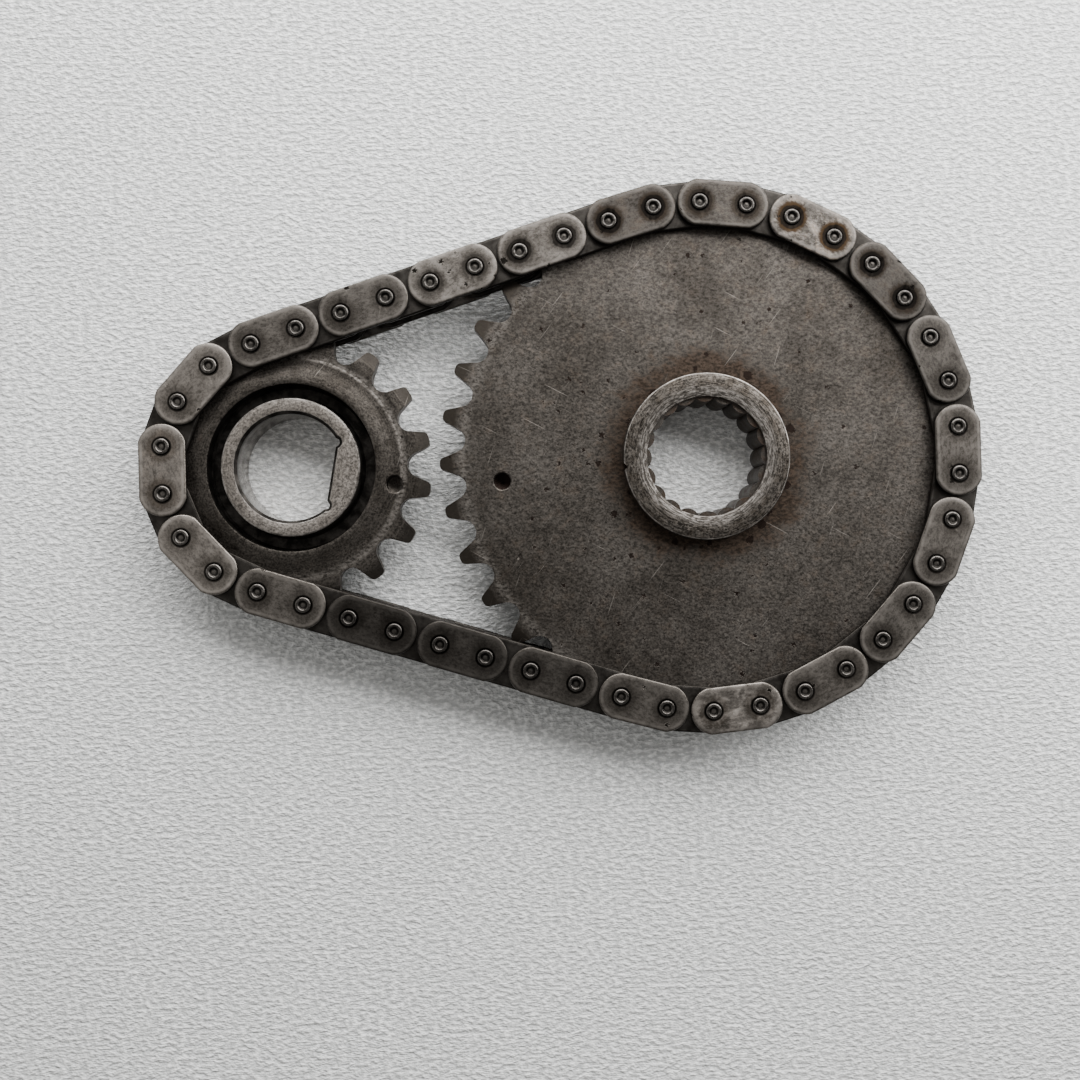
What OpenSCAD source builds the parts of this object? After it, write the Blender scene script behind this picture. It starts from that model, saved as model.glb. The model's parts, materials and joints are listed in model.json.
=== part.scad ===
// Chain drive set: an endless riveted chain of 3/8 inch pitch round two toothed sprockets.
// Origin: axis of the large sprocket, on the flat faces that both hubs rest on.
// +X points from the small sprocket to the large one, +Z up along both axes.

/* [Chain] */
// Distance between neighbouring pin centres
pitch = 9.525; // [9.4:0.005:9.65]
// Width of every link plate
plate_w = 9.5; // [9:0.05:9.6]
// Thickness of every link plate
plate_t = 1.1; // [0.9:0.05:1.2]
// Radius of the rounded end of a plate
end_r = 4.9; // [4.8:0.05:5]
// How far a plate reaches past its pin centres
end_overhang = 4.6; // [4.4:0.05:4.7]
// Width between the two inner plates of a link
inner_width = 3.8; // [3.6:0.05:4]
// Side gap between an inner plate and the outer plate over it
side_gap = 0.1; // [0.05:0.01:0.15]
// Outer radius of a bush, which is what the teeth push on
bush_r = 2.5; // [2.4:0.05:2.5]
// Radius of a pin
pin_r = 1.65; // [1.5:0.05:1.7]
// Radial running gap between a pin and its bush
pin_gap = 0.05; // [0.02:0.01:0.1]
// Radial gap that keeps pressed-in pins and bushes solids of their own
press_gap = 0.01; // [0.005:0.005:0.02]
// Extra radial gap of the one bush at which the loop is left open
open_gap = 0.1; // [0:0.05:0.2]
// How far a pin stands out of the outer plate
pin_proud = 0.35; // [0.2:0.05:0.5]
// Radius of the riveting dimple in each pin end
dimple_r = 0.95; // [0.6:0.05:1.1]
// Depth of the riveting dimple
dimple_depth = 0.35; // [0.2:0.05:0.5]

/* [Layout] */
// Teeth of the large sprocket
large_teeth = 34; // [34:1:34]
// Teeth of the small sprocket
small_teeth = 17; // [17:1:17]
// Links that lie on the large sprocket
large_wrap = 21; // [21:2:21]
// Links that lie on the small sprocket
small_wrap = 7; // [7:2:7]
// Links in each free strand between the sprockets
strand_links = 8; // [6:2:12]
// Height of the chain's middle plane above the resting faces
mid_z = 7; // [6:0.25:8]

/* [Teeth] */
// Thickness of both tooth rims
rim_t = 3.5; // [3.2:0.05:3.6]
// Play between a bush and its seat
seat_gap = 0.04; // [0.02:0.01:0.08]
// Slope of a tooth flank from the radius
flank_angle = 25; // [23:0.5:27]
// Tip radius of the large sprocket
large_tip_r = 54.2; // [53.6:0.1:54.4]
// Tip radius of the small sprocket
small_tip_r = 28.3; // [27.8:0.1:28.5]
// Radial length of the bevel on the tooth faces
bevel_l = 2.7; // [2:0.1:3]
// Depth of that bevel at the tip, on each face
bevel_d = 0.8; // [0.4:0.05:1]

/* [Large hub] */
// Radius of the hub flange over the plate
flange_r = 16.95; // [16.5:0.05:17.5]
// Height of the flange over the plate
flange_h = 3; // [2.5:0.1:3.5]
// Radius of the hub barrel, pressed through the plate
barrel_r = 15; // [14.5:0.1:15.5]
// Lobes of the inner serration
lobes = 20; // [20:1:20]
// Radius at the serration roots
root_r = 12.1; // [12:0.05:12.2]
// Radius at the serration lobe tips
lobe_tip_r = 11.1; // [11:0.05:11.2]
// Radius at which the dished rim of the bore starts
dish_r = 14; // [13.5:0.1:14.5]
// Direction of the notch in the flange edge
notch_angle = 186; // [0:1:359]
// Distance of the timing hole from the axis
large_mark_r = 41.7; // [38:0.1:44]
// Direction of the timing hole
large_mark_angle = 185.3; // [0:0.1:359]

/* [Small sprocket] */
// Radius of the hub boss
boss_r = 14.05; // [13.9:0.05:14.2]
// Height of the boss face over the tooth rim
boss_h = 1.5; // [1:0.1:2]
// Radius of the D shaped bore
d_bore_r = 10.85; // [10.8:0.05:10.9]
// Distance from the axis to the flat of the bore
d_flat = 8.28; // [8.2:0.02:8.4]
// Direction of the flat
d_angle = -10.6; // [-15:0.1:15]
// Radius of the small reliefs at the corners of the flat
relief_r = 0.6; // [0.4:0.05:0.7]
// Outer radius of the groove round the boss
groove_r = 17; // [16.8:0.05:17.2]
// Depth of the groove below the shoulder face
groove_depth = 4; // [3:0.1:4.5]
// Radius of the flat shoulder round the groove
shoulder_r = 19.2; // [18.8:0.1:19.4]
// Radius at which the shoulder's slope meets the rim
slope_r = 20.4; // [20:0.1:20.5]
// Height of the shoulder over the tooth rim
shoulder_h = 0.7; // [0.4:0.05:0.9]
// Thickness of the body below the groove
web_t = 2; // [1.5:0.1:2.2]
// Distance of the timing hole from the axis
small_mark_r = 21.1; // [21:0.05:21.3]

/* [Timing holes] */
// Radius of both timing holes
mark_r = 1.85; // [1.5:0.05:1.9]
// Depth of both timing holes
mark_depth = 2.4; // [1.5:0.1:2.8]

/* [Hidden] */
ROUND = 96;
EPS = 0.01;

link_count = 2 * strand_links + large_wrap + small_wrap;
pair_count = link_count / 2;

large_step = 360 / large_teeth;
small_step = 360 / small_teeth;
large_r = pitch / 2 / sin(large_step / 2);
small_r = pitch / 2 / sin(small_step / 2);
large_end_angle = large_wrap / 2 * large_step;
small_end_angle = 180 + small_wrap / 2 * small_step;

strand_rise = large_r * sin(large_end_angle) + small_r * sin(small_end_angle);
strand_run = sqrt(pow(strand_links * pitch, 2) - pow(strand_rise, 2));
centre_distance = strand_run - large_r * cos(large_end_angle) + small_r * cos(small_end_angle);

inner_plate_z = inner_width / 2;
outer_plate_z = inner_plate_z + plate_t + side_gap;
pin_half = outer_plate_z + plate_t + pin_proud;
end_inset = end_r - end_overhang;
open_pin = 2 * strand_links + large_wrap;

rim_bottom = mid_z - rim_t / 2;
rim_top = mid_z + rim_t / 2;
hub_top = rim_top + flange_h;
boss_top = rim_top + boss_h;
shoulder_top = rim_top + shoulder_h;
groove_bottom = shoulder_top - groove_depth;

lobe_chord = root_r * sin(180 / lobes);
lobe_sag = root_r * cos(180 / lobes) - lobe_tip_r;
lobe_r = (lobe_chord * lobe_chord + lobe_sag * lobe_sag) / (2 * lobe_sag);

function polar(r, a) = r * [cos(a), sin(a)];
function between(a, b, t) = a + (b - a) * t;
function large_pin(k) = polar(large_r, large_end_angle - k * large_step);
function small_pin(k) = [-centre_distance, 0] + polar(small_r, small_end_angle - k * small_step);

// Pins run clockwise: upper strand, large sprocket, lower strand, small sprocket.
function pin_at(i) =
    i <= strand_links
        ? between(small_pin(small_wrap), large_pin(0), i / strand_links)
    : i <= strand_links + large_wrap
        ? large_pin(i - strand_links)
    : i <= open_pin
        ? between(large_pin(large_wrap), small_pin(0), (i - strand_links - large_wrap) / strand_links)
    : small_pin(i - open_pin);

function two_digits(n) = str(n < 10 ? "0" : "", n);
function outer_name(n) = str("outer_link_", two_digits(n));
function inner_name(n) = str("inner_link_", two_digits(n));

// Puts a link's first pin at the origin of its children and its second pin along their +X.
module place_link(i) {
    first = pin_at(i);
    along = pin_at(i + 1) - first;
    translate([first.x, first.y, mid_z])
        rotate(atan2(along.y, along.x))
            children();
}

module plate_outline() {
    intersection() {
        translate([-end_overhang, -plate_w / 2])
            square([pitch + 2 * end_overhang, plate_w]);
        union() {
            for (x = [end_inset, pitch - end_inset])
                translate([x, 0])
                    circle(end_r, $fn = ROUND);
            translate([end_inset, -plate_w / 2])
                square([pitch - 2 * end_inset, plate_w]);
        }
    }
}

// One link plate with two round holes, lying on z = 0.
module link_plate(hole_r) {
    linear_extrude(plate_t)
        difference() {
            plate_outline();
            for (x = [0, pitch])
                translate([x, 0])
                    circle(hole_r, $fn = ROUND);
        }
}

// The same plate above and below the middle plane, at height z.
module plate_pair(hole_r, z) {
    translate([0, 0, z])
        link_plate(hole_r);
    translate([0, 0, -z - plate_t])
        link_plate(hole_r);
}

// A pin with a riveted head and a dimple at each end.
module riveted_pin() {
    edge = pin_proud / 2;
    rotate_extrude($fn = ROUND)
        polygon([
            [0, dimple_depth - pin_half],
            [dimple_r, -pin_half],
            [pin_r - edge, -pin_half],
            [pin_r, edge - pin_half],
            [pin_r, pin_half - edge],
            [pin_r - edge, pin_half],
            [dimple_r, pin_half],
            [0, pin_half - dimple_depth]
        ]);
}

module bush(inner_r) {
    length = inner_width + 2 * plate_t;
    difference() {
        cylinder(h = length, r = bush_r, center = true, $fn = ROUND);
        cylinder(h = length + 2 * EPS, r = inner_r, center = true, $fn = ROUND);
    }
}

module outer_link(n) {
    color([0.40, 0.38, 0.35])
        place_link(2 * (n - 1)) {
            plate_pair(pin_r + press_gap, outer_plate_z);
            riveted_pin();
            translate([pitch, 0, 0])
                riveted_pin();
        }
}

module inner_link(n) {
    i = 2 * n - 1;
    color([0.27, 0.26, 0.25])
        place_link(i) {
            plate_pair(bush_r + press_gap, inner_plate_z);
            bush(pin_r + (i == open_pin ? open_gap : pin_gap));
            translate([pitch, 0, 0])
                bush(pin_r + pin_gap);
        }
}

// The space between two teeth: a round seat for the bush and two straight flanks.
module tooth_space() {
    seat_r = bush_r + seat_gap;
    reach = 8;
    touch = seat_r * [-sin(flank_angle), cos(flank_angle)];
    far = touch + reach * [cos(flank_angle), sin(flank_angle)];
    circle(seat_r, $fn = ROUND);
    polygon([touch, far, [far.x, -far.y], [touch.x, -touch.y]]);
}

// Toothed rim whose faces are bevelled towards the tips.
module toothed_rim(teeth, pitch_r, tip_r, first_tooth) {
    step = 360 / teeth;
    bevel_start = tip_r - bevel_l;
    intersection() {
        translate([0, 0, rim_bottom])
            linear_extrude(rim_t)
                difference() {
                    circle(tip_r, $fn = ROUND);
                    for (k = [0 : teeth - 1])
                        rotate(first_tooth + (k + 0.5) * step)
                            translate([pitch_r, 0])
                                tooth_space();
                }
        rotate_extrude($fn = ROUND)
            polygon([
                [0, rim_bottom],
                [bevel_start, rim_bottom],
                [tip_r + EPS, rim_bottom + bevel_d],
                [tip_r + EPS, rim_top - bevel_d],
                [bevel_start, rim_top],
                [0, rim_top]
            ]);
    }
}

// Blind timing hole in an upper face at height top.
module timing_hole(r, angle, top) {
    rotate(angle)
        translate([r, 0, top - mark_depth])
            cylinder(h = mark_depth + 1, r = mark_r, $fn = ROUND);
}

module large_sprocket_plate() {
    color([0.36, 0.33, 0.30])
        difference() {
            toothed_rim(large_teeth, large_r, large_tip_r, 0);
            translate([0, 0, rim_bottom - 1])
                cylinder(h = rim_t + 2, r = barrel_r, $fn = ROUND);
            timing_hole(large_mark_r, large_mark_angle, rim_top);
        }
}

module serrated_bore() {
    difference() {
        circle(root_r, $fn = ROUND);
        for (k = [0 : lobes - 1])
            rotate(k * 360 / lobes)
                translate([lobe_tip_r + lobe_r, 0])
                    circle(lobe_r, $fn = ROUND);
    }
}

module large_sprocket_hub() {
    dish_depth = 0.6;
    lead_in = 0.4;
    notch = 1.1;
    color([0.52, 0.49, 0.45])
        difference() {
            union() {
                cylinder(h = rim_top, r = barrel_r, $fn = ROUND);
                translate([0, 0, rim_top])
                    cylinder(h = flange_h, r = flange_r, $fn = ROUND);
            }
            translate([0, 0, -1])
                linear_extrude(hub_top + 2)
                    serrated_bore();
            rotate_extrude($fn = ROUND)
                polygon([
                    [0, hub_top - dish_depth - lead_in],
                    [root_r, hub_top - dish_depth - lead_in],
                    [root_r, hub_top - dish_depth],
                    [dish_r, hub_top],
                    [dish_r, hub_top + 1],
                    [0, hub_top + 1]
                ]);
            rotate(notch_angle)
                translate([flange_r, 0, rim_top + flange_h / 2])
                    rotate(45)
                        cube([notch, notch, flange_h + 2 * EPS], center = true);
        }
}

module d_bore() {
    corner_y = sqrt(d_bore_r * d_bore_r - d_flat * d_flat);
    intersection() {
        circle(d_bore_r, $fn = ROUND);
        translate([-d_bore_r, -d_bore_r])
            square([d_bore_r + d_flat, 2 * d_bore_r]);
    }
    for (side = [-1, 1])
        translate([d_flat - relief_r / 2, side * (corner_y - relief_r / 2)])
            circle(relief_r, $fn = ROUND);
}

// Turned body of the small sprocket: boss, groove and shoulder, without its bore.
module small_body() {
    under_bottom = groove_bottom - web_t;
    rotate_extrude($fn = ROUND)
        polygon([
            [0, 0],
            [boss_r, 0],
            [boss_r, under_bottom],
            [shoulder_r, under_bottom],
            [slope_r, rim_bottom],
            [slope_r, rim_top],
            [shoulder_r, shoulder_top],
            [groove_r, shoulder_top],
            [groove_r, groove_bottom],
            [boss_r, groove_bottom],
            [boss_r, boss_top],
            [0, boss_top]
        ]);
}

module small_sprocket() {
    color([0.42, 0.40, 0.37])
        translate([-centre_distance, 0, 0])
            difference() {
                union() {
                    difference() {
                        toothed_rim(small_teeth, small_r, small_tip_r, 180);
                        cylinder(h = boss_top, r = (groove_r + slope_r) / 2, $fn = ROUND);
                    }
                    small_body();
                }
                rotate(d_angle)
                    translate([0, 0, -1])
                        linear_extrude(boss_top + 2)
                            d_bore();
                timing_hole(small_mark_r, d_angle, rim_top);
            }
}

large_sprocket_plate();
large_sprocket_hub();
small_sprocket();
for (n = [1 : pair_count]) {
    outer_link(n);
    inner_link(n);
}
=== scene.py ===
# %% [markdown]
# # A chain drive: one riveted chain on two sprockets
#
# This lesson dresses a working chain drive in real metal. A large sprocket with 34 teeth and a small one
# with 17 share an endless chain of 44 links. The moving frame comes packed with its joints, so nothing
# here moves a part. We only build finer shapes in the same places, and give each of them a finish.
#
# All shapes are written in millimetres, because that is how the parts are drawn, and `MM` turns them
# into Blender's metres at the last moment.

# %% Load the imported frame
import json
import math
import random

import bmesh
import bpy
from mathutils import Matrix, Vector


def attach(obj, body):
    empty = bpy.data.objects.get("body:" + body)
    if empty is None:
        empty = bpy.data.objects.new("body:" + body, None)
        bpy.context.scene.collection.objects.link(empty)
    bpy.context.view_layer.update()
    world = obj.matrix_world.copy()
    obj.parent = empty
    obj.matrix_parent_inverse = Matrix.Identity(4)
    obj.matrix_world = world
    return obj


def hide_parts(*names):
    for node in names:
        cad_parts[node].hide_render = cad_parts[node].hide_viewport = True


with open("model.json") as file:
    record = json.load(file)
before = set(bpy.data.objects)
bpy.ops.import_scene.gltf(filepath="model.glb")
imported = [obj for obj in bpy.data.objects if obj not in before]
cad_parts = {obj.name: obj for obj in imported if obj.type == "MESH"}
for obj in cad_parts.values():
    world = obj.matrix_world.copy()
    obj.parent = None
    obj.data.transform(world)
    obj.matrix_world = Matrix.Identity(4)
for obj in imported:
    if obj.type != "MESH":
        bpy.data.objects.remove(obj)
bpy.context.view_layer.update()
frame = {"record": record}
MM = 0.001

# %% [markdown]
# ## The layout
#
# Everything across the axes follows from the pitch, the distance between neighbouring pins. A chain lies
# on a sprocket as a polygon whose corners are the pins, so the pitch circle has the radius
# `pitch / 2 / sin(half a step)`. The two free strands are straight and eight pitches long, and that sets
# the distance between the axes. Pins are numbered clockwise, from the small sprocket along the upper
# strand, round the large sprocket and back.

# %% Where every pin sits
PITCH = 9.525
LARGE_TEETH = 34
SMALL_TEETH = 17
LARGE_WRAP = 21
SMALL_WRAP = 7
STRAND = 8
LINKS = 2 * STRAND + LARGE_WRAP + SMALL_WRAP
MID_Z = 7.0

LARGE_STEP = 2 * math.pi / LARGE_TEETH
SMALL_STEP = 2 * math.pi / SMALL_TEETH
LARGE_R = PITCH / 2 / math.sin(LARGE_STEP / 2)
SMALL_R = PITCH / 2 / math.sin(SMALL_STEP / 2)
LARGE_END = LARGE_WRAP / 2 * LARGE_STEP
SMALL_END = math.pi + SMALL_WRAP / 2 * SMALL_STEP

strand_rise = LARGE_R * math.sin(LARGE_END) + SMALL_R * math.sin(SMALL_END)
strand_run = math.sqrt((STRAND * PITCH) ** 2 - strand_rise ** 2)
CENTRES = strand_run - LARGE_R * math.cos(LARGE_END) + SMALL_R * math.cos(SMALL_END)


def polar(radius, angle):
    return Vector((radius * math.cos(angle), radius * math.sin(angle)))


def large_pin(k):
    return polar(LARGE_R, LARGE_END - k * LARGE_STEP)


def small_pin(k):
    return Vector((-CENTRES, 0)) + polar(SMALL_R, SMALL_END - k * SMALL_STEP)


def pin_at(i):
    if i <= STRAND:
        return small_pin(SMALL_WRAP).lerp(large_pin(0), i / STRAND)
    if i <= STRAND + LARGE_WRAP:
        return large_pin(i - STRAND)
    if i <= 2 * STRAND + LARGE_WRAP:
        return large_pin(LARGE_WRAP).lerp(small_pin(0), (i - STRAND - LARGE_WRAP) / STRAND)
    return small_pin(i - 2 * STRAND - LARGE_WRAP)


print(f"centre distance {CENTRES:.2f} mm, pitch radii {LARGE_R:.2f} and {SMALL_R:.2f} mm")

# %% [markdown]
# ## Tools for making meshes
#
# Most of these parts are turned or stamped, so their surfaces are rows of points: rings round an axis, or
# outlines that shrink towards an edge. `strip` joins two rows of equal length with four-sided faces, and
# `Shape` collects rows and faces until the mesh is made. Rows keep the mesh clean, which a chain of
# boolean cuts would not.

# %% A small mesh builder
MERGE_WITHIN = 0.002
SMOOTH_UP_TO = math.radians(32)
FINE_UP_TO = math.radians(28)


class Shape:
    """Vertices and faces in millimetres, with a material number for each face."""

    def __init__(self):
        self.points = []
        self.faces = []
        self.slots = []

    def row(self, points):
        """Adds a row of (x, y, z) points and returns their numbers."""
        first = len(self.points)
        self.points.extend(points)
        return list(range(first, len(self.points)))

    def face(self, corners, slot=0):
        self.faces.append(corners)
        self.slots.append(slot)

    def strip(self, low, high, slot=0, closed=True):
        """Joins two rows: going along low with high on its left gives the outer side."""
        count = len(low) if closed else len(low) - 1
        for k in range(count):
            after = (k + 1) % len(low)
            self.face((low[k], low[after], high[after], high[k]), slot)

    def mesh(self, name):
        mesh = bpy.data.meshes.new(name)
        mesh.from_pydata([tuple(c * MM for c in p) for p in self.points], [], self.faces)
        mesh.polygons.foreach_set("material_index", self.slots)
        mesh.update()
        return mesh


def tidy_mesh(mesh, smooth_up_to=SMOOTH_UP_TO):
    """Merges rows that meet, turns the faces outwards and keeps only real edges sharp."""
    work = bmesh.new()
    work.from_mesh(mesh)
    bmesh.ops.remove_doubles(work, verts=work.verts, dist=MERGE_WITHIN * MM)
    bmesh.ops.recalc_face_normals(work, faces=work.faces)
    for face in work.faces:
        face.smooth = True
    for edge in work.edges:
        edge.smooth = len(edge.link_faces) == 2 and edge.calc_face_angle(0) < smooth_up_to
    work.to_mesh(mesh)
    work.free()
    return mesh


def is_closed(mesh):
    """True if every edge has two faces, as on a real solid."""
    work = bmesh.new()
    work.from_mesh(mesh)
    closed = all(len(edge.link_faces) == 2 for edge in work.edges)
    work.free()
    return closed


print("edges stay sharp from", round(math.degrees(SMOOTH_UP_TO)), "degrees on")

# %% [markdown]
# A lathe is enough for pins and bushes: a profile of (radius, height) points, turned round the Z axis. A
# point with radius 0 becomes the centre of a fan.

# %% Turning a profile
def lathe(shape, profile, segments, centre=(0, 0), slot=0, closed=False):
    """Turns (radius, z) points round the axis through centre; closed joins the last ring to the first."""
    rings = []
    for radius, z in profile:
        if radius == 0:
            rings.append(shape.row([(centre[0], centre[1], z)]))
            continue
        ring = [polar(radius, 2 * math.pi * k / segments) for k in range(segments)]
        rings.append(shape.row([(centre[0] + p.x, centre[1] + p.y, z) for p in ring]))
    pairs = list(zip(rings, rings[1:]))
    if closed:
        pairs.append((rings[-1], rings[0]))
    for low, high in pairs:
        if len(low) == 1:
            for k in range(segments):
                shape.face((low[0], high[(k + 1) % segments], high[k]), slot)
        elif len(high) == 1:
            for k in range(segments):
                shape.face((low[k], low[(k + 1) % segments], high[0]), slot)
        else:
            shape.strip(low, high, slot)


# %% [markdown]
# ## The finishing pass
#
# Every piece ends here. Marks are cut with booleans, as a drill would, a bevel modifier rounds the edges
# that are sharper than a limit, and weighted normals keep the flat faces flat next to their small rounded
# edges. Steel shows at once where a face only pretends to be flat. The result is one plain mesh, and the
# objects that helped to make it are removed.

# %% Cut, soften, even out
ROUNDED_FROM = math.radians(38)
FLAT_WEIGHT = 80


def in_scene(name, data):
    """A new object with that mesh, light or camera, put into the scene."""
    made = bpy.data.objects.new(name, data)
    bpy.context.scene.collection.objects.link(made)
    return made


def finished(mesh, name, cutters=(), bevel=0.0):
    """Cuts the marks, rounds the edges by bevel millimetres and returns one plain mesh."""
    piece = in_scene(name + "_work", mesh)
    leftovers = [piece]
    for number, cutter in enumerate(cutters):
        tool = in_scene(f"{name}_tool_{number}", cutter)
        cut = piece.modifiers.new("cut", "BOOLEAN")
        cut.operation = "DIFFERENCE"
        cut.solver = "EXACT"
        cut.object = tool
        leftovers.append(tool)
    if bevel:
        soften = piece.modifiers.new("soften", "BEVEL")
        soften.width = bevel * MM
        soften.segments = 2
        soften.limit_method = "ANGLE"
        soften.angle_limit = ROUNDED_FROM
    even = piece.modifiers.new("even", "WEIGHTED_NORMAL")
    even.keep_sharp = True
    even.weight = FLAT_WEIGHT
    view = bpy.context.evaluated_depsgraph_get()
    made = bpy.data.meshes.new_from_object(piece.evaluated_get(view), depsgraph=view)
    made.name = name
    for leftover in leftovers:
        bpy.data.objects.remove(leftover)
    print(name, len(made.polygons), "faces, closed:", is_closed(made))
    return made


# %% [markdown]
# ## Link plates
#
# A link plate is stamped from strip: two holes, straight sides, and ends that are a little fuller than a
# half circle. Tumbling rounds its edges. We draw the outline at a given inset, and stack a few insets to
# round the edge: a real round edge catches the light where a sharp one would stay a black line.

# %% The outline of a plate
PLATE_HALF_W = 4.75
PLATE_T = 1.1
END_R = 4.9
END_OVERHANG = 4.6
END_INSET = END_R - END_OVERHANG
END_POINTS = 22
SIDE_POINTS = 6

# How far each row of the rounded edge lies inside the outline, and below the flat face.
EDGE_ROWS = [(0.0, 0.42), (0.02, 0.28), (0.08, 0.15), (0.19, 0.06), (0.36, 0.015), (0.7, 0.0)]


def plate_outline(inset):
    """The outline of a plate, anticlockwise, with its first pin at the origin and the second on +X."""
    radius = END_R - inset
    half = PLATE_HALF_W - inset
    reach = math.asin(half / radius)
    turn = [reach * (2 * k / END_POINTS - 1) for k in range(END_POINTS + 1)]
    right = [(PITCH - END_INSET + radius * math.cos(a), radius * math.sin(a)) for a in turn]
    left = [(PITCH - x, -y) for x, y in right]
    return with_sides(right) + with_sides(left)


def with_sides(end):
    """An end arc followed by the points of the straight side after it."""
    x, y = end[-1]
    other = PITCH - x
    steps = [k / SIDE_POINTS for k in range(1, SIDE_POINTS)]
    return end + [(x + (other - x) * t, y) for t in steps]


print("points on a plate outline", len(plate_outline(0)))

# %% [markdown]
# The flat face lies between the outline and two holes. Blender fills such a shape from its edges with
# `triangle_fill`; the face is flat, so the triangles don't show. The holes get a small funnel, the dark
# groove that is seen round every riveted pin.

# %% One plate as a closed solid
HOLE_POINTS = 40

# The funnel of a hole: the share of its width that is left, and the depth below the flat face.
FUNNEL_ROWS = [(1.0, 0.0), (0.45, 0.03), (0.1, 0.14), (0.0, 0.3)]


def circle_row(shape, centre_x, radius, z):
    ring = [polar(radius, 2 * math.pi * k / HOLE_POINTS) for k in range(HOLE_POINTS)]
    return shape.row([(centre_x + p.x, p.y, z) for p in ring])


def fill_between(shape, outer, holes):
    """Fills the flat area inside outer and outside the holes."""
    work = bmesh.new()
    made = {}
    for loop in [outer] + holes:
        for number in loop:
            vert = work.verts.new(shape.points[number])
            made[vert] = number
    verts = list(made)
    start = 0
    for loop in [outer] + holes:
        for k in range(len(loop)):
            work.edges.new((verts[start + k], verts[start + (k + 1) % len(loop)]))
        start += len(loop)
    bmesh.ops.triangle_fill(work, edges=work.edges[:], use_beauty=True, use_dissolve=False)
    for face in work.faces:
        shape.face(tuple(made[v] for v in face.verts))
    work.free()


def add_plate(shape, hole_r, z_low, funnel):
    """Adds a plate whose lower face is at z_low; funnel is how wide its holes open at each face."""
    z_high = z_low + PLATE_T
    rows = [(inset, z_low + drop) for inset, drop in reversed(EDGE_ROWS)]
    rows += [(inset, z_high - drop) for inset, drop in EDGE_ROWS]
    edge = [shape.row([(x, y, z) for x, y in plate_outline(inset)]) for inset, z in rows]
    for low, high in zip(edge, edge[1:]):
        shape.strip(low, high)
    rows = [(hole_r + funnel * share, z_low + drop) for share, drop in FUNNEL_ROWS]
    rows += [(hole_r + funnel * share, z_high - drop) for share, drop in reversed(FUNNEL_ROWS)]
    bottoms, tops = [], []
    for x in (0, PITCH):
        wall = [circle_row(shape, x, radius, z) for radius, z in rows]
        for low, high in zip(wall, wall[1:]):
            shape.strip(high, low)
        bottoms.append(wall[0])
        tops.append(wall[-1])
    fill_between(shape, edge[0], bottoms)
    fill_between(shape, edge[-1], tops)


# %% [markdown]
# ## Pins and bushes
#
# A pin is pressed through both outer plates and its ends are spread with a punch, which leaves a bright
# ring round a small dimple. The bush is a sleeve pressed into both inner plates; the teeth push on it.

# %% The riveted pin and the bush
INNER_WIDTH = 3.8
SIDE_GAP = 0.1
PIN_R = 1.65
PIN_PROUD = 0.35
PIN_GAP = 0.14
BUSH_R = 2.5
PRESS_GAP = 0.01
TURNED = 40

INNER_PLATE_Z = INNER_WIDTH / 2
OUTER_PLATE_Z = INNER_PLATE_Z + PLATE_T + SIDE_GAP
PIN_HALF = OUTER_PLATE_Z + PLATE_T + PIN_PROUD

# Half of the pin's profile as (radius, depth below its end face), from the centre of the dimple outwards.
PIN_END = [
    (0.0, 0.30), (0.25, 0.33), (0.5, 0.36), (0.72, 0.32), (0.88, 0.18), (0.97, 0.05),
    (1.08, 0.0), (1.28, 0.0), (1.43, 0.03), (1.55, 0.10), (1.62, 0.20), (PIN_R, 0.34),
]


def add_pin(shape, x, slot):
    lower = [(r, -PIN_HALF + d) for r, d in PIN_END]
    upper = [(r, PIN_HALF - d) for r, d in reversed(PIN_END)]
    lathe(shape, lower + upper, TURNED, (x, 0), slot)


def add_bush(shape, x, slot):
    half = INNER_WIDTH / 2 + PLATE_T
    inner_r = PIN_R + PIN_GAP
    chamfer = 0.15
    profile = [
        (inner_r, -half + chamfer), (inner_r + chamfer, -half),
        (BUSH_R - chamfer, -half), (BUSH_R, -half + chamfer),
        (BUSH_R, half - chamfer), (BUSH_R - chamfer, half),
        (inner_r + chamfer, half), (inner_r, half - chamfer),
    ]
    lathe(shape, profile, TURNED, (x, 0), slot, closed=True)


# %% [markdown]
# An outer link is two outer plates with two pins, an inner link two inner plates with two bushes. Each is
# built once, with its first pin at the origin, and copied to its 22 places.

# %% The two kinds of link
def link_mesh(name, plate_z, hole_r, funnel, add_part):
    """Plates at plate_z above and below the middle, and what add_part makes at both of their ends."""
    shape = Shape()
    for z in (plate_z, -plate_z - PLATE_T):
        add_plate(shape, hole_r, z, funnel)
    for x in (0, PITCH):
        add_part(shape, x, 1)
    return finished(tidy_mesh(shape.mesh(name)), name)


outer_master = link_mesh("outer_link", OUTER_PLATE_Z, PIN_R + PRESS_GAP, 0.24, add_pin)
inner_master = link_mesh("inner_link", INNER_PLATE_Z, BUSH_R + PRESS_GAP, 0.12, add_bush)

# %% [markdown]
# ## Sprocket teeth
#
# The space between two teeth is a round seat for the bush with two straight flanks. We follow it as
# (radius, angle) points from the bottom of the seat to the tip, and mirror it for the other flank. The
# tooth faces are bevelled in two steps towards the tip so that the chain finds its way on.
#
# One sector of the rim holds one tooth. Its inner arc has the same points as the turned body inside it,
# so the two grow together into one clean solid.

# %% The flank of a tooth
SEAT_R = BUSH_R + 0.04
FLANK = math.radians(25)
SEAT_POINTS = 8
FLANK_POINTS = 3
TIP_ROUND = 0.8
TIP_POINTS = 4
ACROSS = 4
RIM_HALF = 1.75
RIM_TOP = MID_Z + RIM_HALF
RIM_BOTTOM = MID_Z - RIM_HALF


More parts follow.
